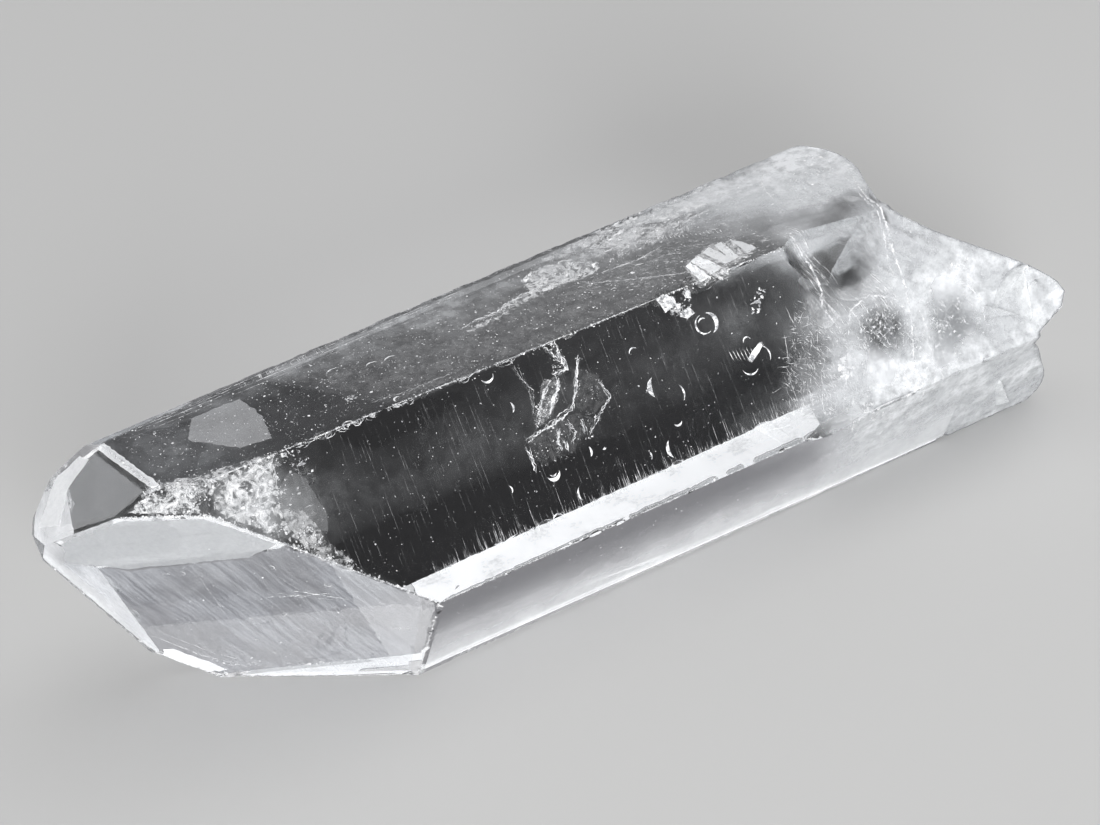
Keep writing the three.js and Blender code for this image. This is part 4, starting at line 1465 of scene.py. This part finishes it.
def make_root_flakes(material):
    """Flat cracks in the milky root, which catch the light, and the ridges over it."""
    flaws = Flaws(107)
    rng = flaws.rng
    for spots, width, white in ROOT_LINES:
        ways = np.array(spots, float)
        fine = np.linspace(0, len(ways) - 1, 6 * len(ways))
        whole = np.arange(len(ways))
        smooth = zip(np.interp(fine, whole, ways[:, 0]), np.interp(fine, whole, ways[:, 1]))
        path = [under_surface(x, around) for x, around in smooth]
        for copy, (white_share, width_share) in enumerate(ROOT_LINE_COPIES):
            flaws.white = white * white_share
            flaws.wander(path, width * width_share, round_axis(ways[0][1]), 0.03 + 0.03 * copy)
    for _ in range(ROOT_RIBS):
        x, around = 20.9 + rng.normal(0, 0.35), rng.uniform(104, 142)
        if rng.random() < INNER_RIBS:
            x, around = rng.uniform(21.5, 25.5), 143 + rng.normal(0, 3)
        flaws.white = rng.uniform(0.2, 0.8)
        path = [under_surface(x + 0.14 * k, around + 1.6 * k + 0.4 * k * k) for k in range(5)]
        flaws.wander(path, rng.uniform(0.015, 0.035), round_axis(around), 0.01)
    for x, around, long, wide, many, size in ROOT_CROWDS:
        spots = zip(rng.normal(x, long / 2, many), rng.normal(around, wide / 2, many))
        centres = np.array([under_surface(a, b, rng.uniform(0.05, 0.7)) for a, b in spots])
        flaws.white = 0.9
        flaws.shards(centres, rng.normal(size=centres.shape), size, stretch=1.8)
    for x, around in ROOT_SPRAYS:
        for _ in range(SPRAY_CRACKS):
            place = under_surface(x + rng.normal(0, 1.0), around + rng.normal(0, 4), rng.uniform(0.05, 0.9))
            way = np.array((rng.normal(0, 0.25), rng.normal(0, 0.2), rng.uniform(0.2, 0.6)))
            flaws.white = rng.uniform(0.3, 0.95)
            flaws.wander([place, place + way], rng.uniform(0.03, 0.08), (0, 1, 0.3), 0.02)
    shell, _ = inner_shell(MILK_FLAKES_DEPTH)
    shell = shell[shell[:, 0] > MILK_FLAKES_START]
    picks = shell[rng.integers(0, len(shell), MILK_FLAKE_TRIES)]
    inward = rng.uniform(0.72, 1.0, len(picks))[:, None]
    drawn_in = np.concatenate([np.ones_like(inward), inward, inward], 1)
    centres = picks * drawn_in + rng.normal(0, 0.15, picks.shape)
    centres = centres[milkiness(centres) > rng.uniform(0.15, 0.9, len(centres))]
    normals = rng.normal(size=centres.shape) * (0.4, 1.0, 1.0)
    flaws.white = 0.7
    flaws.shards(centres, normals, 0.05, stretch=1.8, tilt=0.3)
    return flaws.piece("root_flakes", material)


# Frosted places and veils, and white sheets that paint reflections: face, how white, depth, and outline in
# (x, aside).
VEILS_AND_PAINTED_REFLECTIONS = (
    # Painted reflection: these two white sheets inside the base face stand in for the bright light that the
    # base face reflects from inside.
    ("base", 1.0, 0.05, (
        (-14.5, 2.3), (-14.0, 0.9), (-12.8, -0.4), (-10.6, -2.2), (-7.6, -3.6), (-6.6, -3.2),
        (-9.0, -1.3), (-8.0, -0.3), (-5.0, -0.6), (-3.8, 1.0), (22.0, 1.0), (22.6, 3.75), (-4.9, 3.75),
        (-5.2, 2.3),
    )),
    ("base", 0.62, 0.05, ((-14.2, 2.35), (-5.25, 2.35), (-4.95, 3.75), (-12.9, 3.75))),
    ("back_low", 0.9, 0.06, (
        (-17.5, -2.0), (-16.9, -2.0), (-15.4, -3.2), (-14.4, -4.3), (-15.8, -4.35), (-17.5, -3.0),
    )),
    # Painted reflection: a white sheet inside the hidden point face, standing in for the white that the point
    # shows there by reflection inside it.
    ("point_back_low", 0.8, 0.06, (
        (-24.1, 4.8), (-19.1, -2.0), (-17.9, -2.6), (-17.9, 5.5), (-22.0, 7.5), (-23.6, 6.9),
        (-24.1, 6.1),
    )),
    ("point_top", 0.13, 0.08, (
        (-23.9, -4.2), (-22.0, -5.5), (-20.6, -4.9), (-20.05, -4.0), (-20.0, 1.5), (-21.5, 0.7),
        (-23.9, -2.9),
    )),
    ("point_top", 0.7, 0.06, (
        (-23.9, -4.2), (-22.0, -5.5), (-20.5, -4.9), (-20.4, -4.0), (-21.8, -4.1), (-23.3, -2.9),
    )),
    ("top", 0.8, 0.05, ((-20.0, -3.9), (-19.4, -3.9), (-19.3, 2.0), (-19.8, 2.0))),
    ("top", 0.19, 0.10, (
        (-15.9, -1.0), (-14.6, -2.9), (-11.6, -2.9), (-11.6, -0.4), (-12.5, 2.0), (-14.2, 1.7),
    )),
    ("top", 0.12, 0.08, ((-9.6, -3.7), (14.0, -4.2), (14.0, -4.8), (-9.0, -4.3))),
    ("top", 0.02, 0.12, ((-9.6, -3.9), (22.0, -4.6), (22.0, 3.9), (-5.0, 3.9), (-6.4, 2.6))),
    ("front_high", 0.035, 0.10, (
        (-13.6, -3.9), (-12.7, -4.3), (-12.1, -3.8), (-11.7, -1.6), (-12.0, -0.6), (-12.9, -1.1),
        (-14.2, -2.3),
    )),
    ("point_front_low", 0.11, 0.05, ((-12.6, -5.75), (-7.8, -3.6), (-7.7, 3.75), (-8.7, 3.2), (-10.3, -0.5))),
    ("top", 0.85, 0.1, ((17.2, 1.2), (17.7, 1.2), (17.4, 3.3), (16.8, 3.4))),
    ("top", 0.6, 0.1, ((18.2, 1.5), (18.5, 1.8), (18.7, 3.2), (18.0, 3.3))),
    ("top", 0.8, 0.1, ((16.2, 1.4), (16.8, 1.2), (17.0, 3.4), (16.3, 3.5))),
    ("top", 0.9, 0.1, ((15.1, 1.8), (15.8, 1.6), (16.0, 3.7), (15.1, 3.8))),
    ("top", 0.95, 0.1, ((14.5, 2.1), (15.0, 1.9), (14.9, 4.0), (14.2, 4.1))),
    ("top", 0.45, 0.5, (
        (14.4, -4.3), (14.4, -4.7), (19.0, -4.7), (21.3, -4.7), (21.4, -3.8), (17.0, -3.4), (16.0, -4.1),
    )),
)
# Films of growth streaks on the large point face: face, how dense, depth, outline.
GROWTH_FILMS = (
    ("point_front_low", 0.11, 0.06, (
        (-23.5, -1.2), (-20.6, -1.6), (-15.9, -4.75), (-14.7, -6.5), (-12.6, -5.75), (-8.4, -3.9),
        (-8.0, 3.5), (-16.0, 7.2), (-19.2, 5.7), (-20.1, 4.3), (-21.5, 1.5),
    )),
)
# Duller films, in the same way.
DULL_VEILS = (
    ("point_front_low", 0.62, 0.04, (
        (-23.6, -3.2), (-21.4, -6.2), (-18.0, -7.8), (-16.0, -7.1), (-14.9, -6.6), (-15.9, -4.9),
        (-20.7, -1.75), (-23.4, -1.3),
    )),
    ("point_top", 0.12, 0.05, ((-23.3, -2.7), (-21.8, -4.0), (-20.05, -3.9), (-20.0, 1.4), (-21.5, 0.6))),
)
# Crushed places inside, in the same way. Each is several sheets of folds, one under another: their
# shares of the whiteness and of the outline, and how much deeper each next one is.
CRUSHED_SHEETS = ((1.0, 1.0), (0.7, 0.94), (0.5, 0.88))
CRUSHED_STEP = 0.22
CRUSHED = (
    ("top", 0.95, 0.10, (
        (14.4, -4.4), (14.4, -4.8), (16.6, -4.8), (19.0, -4.85), (21.3, -4.9), (22.6, -4.3), (22.6, -3.8),
        (21.4, -3.5), (19.7, -3.2), (17.0, -3.1), (16.6, -3.8), (15.4, -4.0),
    )),
    ("top", 0.6, 0.10, (
        (8.9, -4.3), (11.2, -4.8), (14.2, -4.8), (14.0, -4.2), (12.3, -3.9), (11.2, -3.8), (10.0, -3.8),
    )),
    ("top", 0.65, 0.14, (
        (14.0, -4.0), (15.3, -3.8), (17.0, -3.0), (18.6, -2.9), (17.2, -2.2), (15.0, -2.0), (13.0, -2.3),
        (11.8, -2.4), (10.9, -2.8), (9.6, -2.9), (9.9, -3.4), (12.1, -3.4),
    )),
    ("top", 0.95, 0.16, (
        (7.2, -3.4), (8.7, -3.7), (10.0, -3.5), (11.2, -2.5), (11.3, -1.5), (10.6, -1.0), (9.5, -1.0),
        (8.3, -1.3), (7.4, -1.4), (6.6, -1.8), (6.7, -2.7),
    )),
    ("top", 0.8, 0.16, (
        (1.5, -0.45), (3.2, -0.75), (4.8, -1.25), (5.8, -1.6), (6.9, -1.9), (7.2, -1.3), (6.1, -1.1),
        (4.6, -0.75), (3.2, -0.35), (1.5, -0.3),
    )),
    ("top", 0.5, 0.2, (
        (14.5, 1.9), (15.4, 1.5), (17.3, 0.9), (18.4, 1.4), (18.7, 3.2), (16.9, 3.7), (15.4, 4.0),
        (14.2, 4.2), (13.9, 4.0), (14.2, 3.4), (14.3, 2.9),
    )),
    ("front_high", 0.52, 0.12, (
        (-17.2, -5.1), (-15.8, -5.3), (-14.5, -5.3), (-13.3, -5.1), (-13.6, -4.1), (-13.9, -3.4),
        (-14.0, -2.7), (-14.1, -0.9), (-15.0, -1.7), (-15.9, -2.5), (-16.9, -3.4), (-17.5, -4.1),
    )),
    ("front_high", 0.28, 0.2, (
        (-13.9, -2.6), (-12.9, -2.2), (-12.0, 0.2), (-11.2, 1.5), (-11.6, 1.9), (-13.0, 0.4),
        (-14.2, -1.4),
    )),
    ("top", 0.6, 0.12, ((-19.4, 1.6), (-17.2, 2.6), (-14.9, 3.0), (-12.8, 3.6), (-12.6, 4.1), (-19.2, 4.1))),
    ("point_front_high", 0.6, 0.08, (
        (-21.1, -5.6), (-20.4, -5.9), (-19.5, -5.95), (-18.1, -5.3), (-18.1, -4.1), (-20.2, -5.15),
    )),
    ("top", 0.045, 0.14, (
        (-5.0, 3.6), (-6.0, 2.4), (-8.8, -3.4), (2.0, -3.8), (14.0, -3.9), (19.0, -2.8), (14.0, 1.0),
        (13.6, 3.7),
    )),
)


def make_crushed_sheets(material):
    """Crushed places under the faces."""
    flaws = Flaws(110)
    for face, white, depth, outline in CRUSHED:
        for layer, (white_share, size_share) in enumerate(CRUSHED_SHEETS):
            flaws.white = white * white_share
            inner = np.array(outline)
            inner = inner.mean(axis=0) + (inner - inner.mean(axis=0)) * size_share
            flaws.veil(face, inner, depth + CRUSHED_STEP * layer, 0.05)
    return flaws.piece("crushed_sheets", material)


# Frost under the lower front face: how far aside, and how white there.
FROST = (
    (-3.6, 0.0), (-2.4, 0.0), (-1.4, 0.03), (-0.3, 0.09), (0.8, 0.19), (1.9, 0.31), (2.9, 0.45), (3.15, 0.55),
    (3.3, 0.9), (3.45, 1.0),
)
FROST_START, FROST_END, FROST_STEP = -7.3, 29.0, 0.3
FROST_ROWS = 30
FROST_DEPTHS = (0.06, 0.072)
# How mottled it is: height and width of the waves, how strong they are, and up to which whiteness.
FROST_WAVES = ((1.0, 1.6), (0.5, 0.5))
FROST_MOTTLE = 0.22
FROST_SOLID = 0.9


def make_frosted_face(material):
    """Fine frost under the lower front face, thicker towards the face that the crystal lies on."""
    flaws = Flaws(111)
    along = np.arange(FROST_START, FROST_END, FROST_STEP)
    asides, whites = np.array(FROST).T
    across = np.linspace(asides[0], asides[-1], FROST_ROWS)
    x, aside = [grid.ravel() for grid in np.meshgrid(along, across)]
    upper, lower = [
        np.array([on_face("front_low", *spot, depth) for spot in zip(x, aside)]) for depth in FROST_DEPTHS
    ]
    mottle = waves(upper, FROST_WAVES, 121)
    white = np.interp(aside, asides, whites)
    white = np.clip(white * (1 + FROST_MOTTLE * mottle * (white < FROST_SOLID)), 0, 1)
    wide, many = len(along), len(x)
    corner = np.arange(many).reshape(len(across), wide)
    low, right = corner[:-1, :-1].ravel(), corner[:-1, 1:].ravel()
    high, both = corner[1:, :-1].ravel(), corner[1:, 1:].ravel()
    sheet = np.concatenate([np.stack([low, right, both], 1), np.stack([low, both, high], 1)])
    rim = np.concatenate([corner[0], corner[1:, -1], corner[-1, -2::-1], corner[-2:0:-1, 0]])
    after = np.roll(rim, -1)
    near, far = np.stack([after, rim, rim + many], 1), np.stack([after, rim + many, after + many], 1)
    triangles = np.concatenate([sheet, sheet[:, ::-1] + many, near, far])
    flaws.keep(np.concatenate([upper, lower]), triangles, np.concatenate([white, white]))
    return flaws.piece("frosted_face", material)


# The darker and the lighter tone of the white veils and of the dull ones, and the painted glow of the frost.
WHITE_TONES = ((0.90, 0.92, 0.935, 1.0), (0.97, 0.975, 0.98, 1.0))
DULL_TONES = ((0.44, 0.455, 0.47, 1.0), (0.52, 0.53, 0.54, 1.0))
FROST_PAINTED_GLOW = (0.6, 0.95, 0.2)


def make_veils(name, veils, material):
    """Veils from one of the lists above, as one piece."""
    flaws = Flaws(108)
    for face, white, depth, outline in veils:
        flaws.white = white
        flaws.veil(face, outline, depth)
    return flaws.piece(name, material)


make_root_cloud()
fracture = white_fracture()
haze = veil_haze()
# The veils piece also holds the painted reflections.
make_veils("veils", VEILS_AND_PAINTED_REFLECTIONS, cloudy_veil("cloudy_veil", haze, WHITE_TONES))
make_veils("dull_veils", DULL_VEILS, cloudy_veil("dull_veil", haze, DULL_TONES))
make_frosted_face(cloudy_veil("frost", haze, WHITE_TONES, *FROST_PAINTED_GLOW))
make_veils("growth_streaks", GROWTH_FILMS, growth_film())
make_crushed_sheets(crumpled_fracture())
make_front_flaws(fracture)
make_needles(fracture)
make_top_flaws(fracture)
make_edge_wear(fracture)
make_tip_patch(fracture)
make_point_face_flaws(fracture)
make_specks(fracture)
make_root_flakes(fracture)
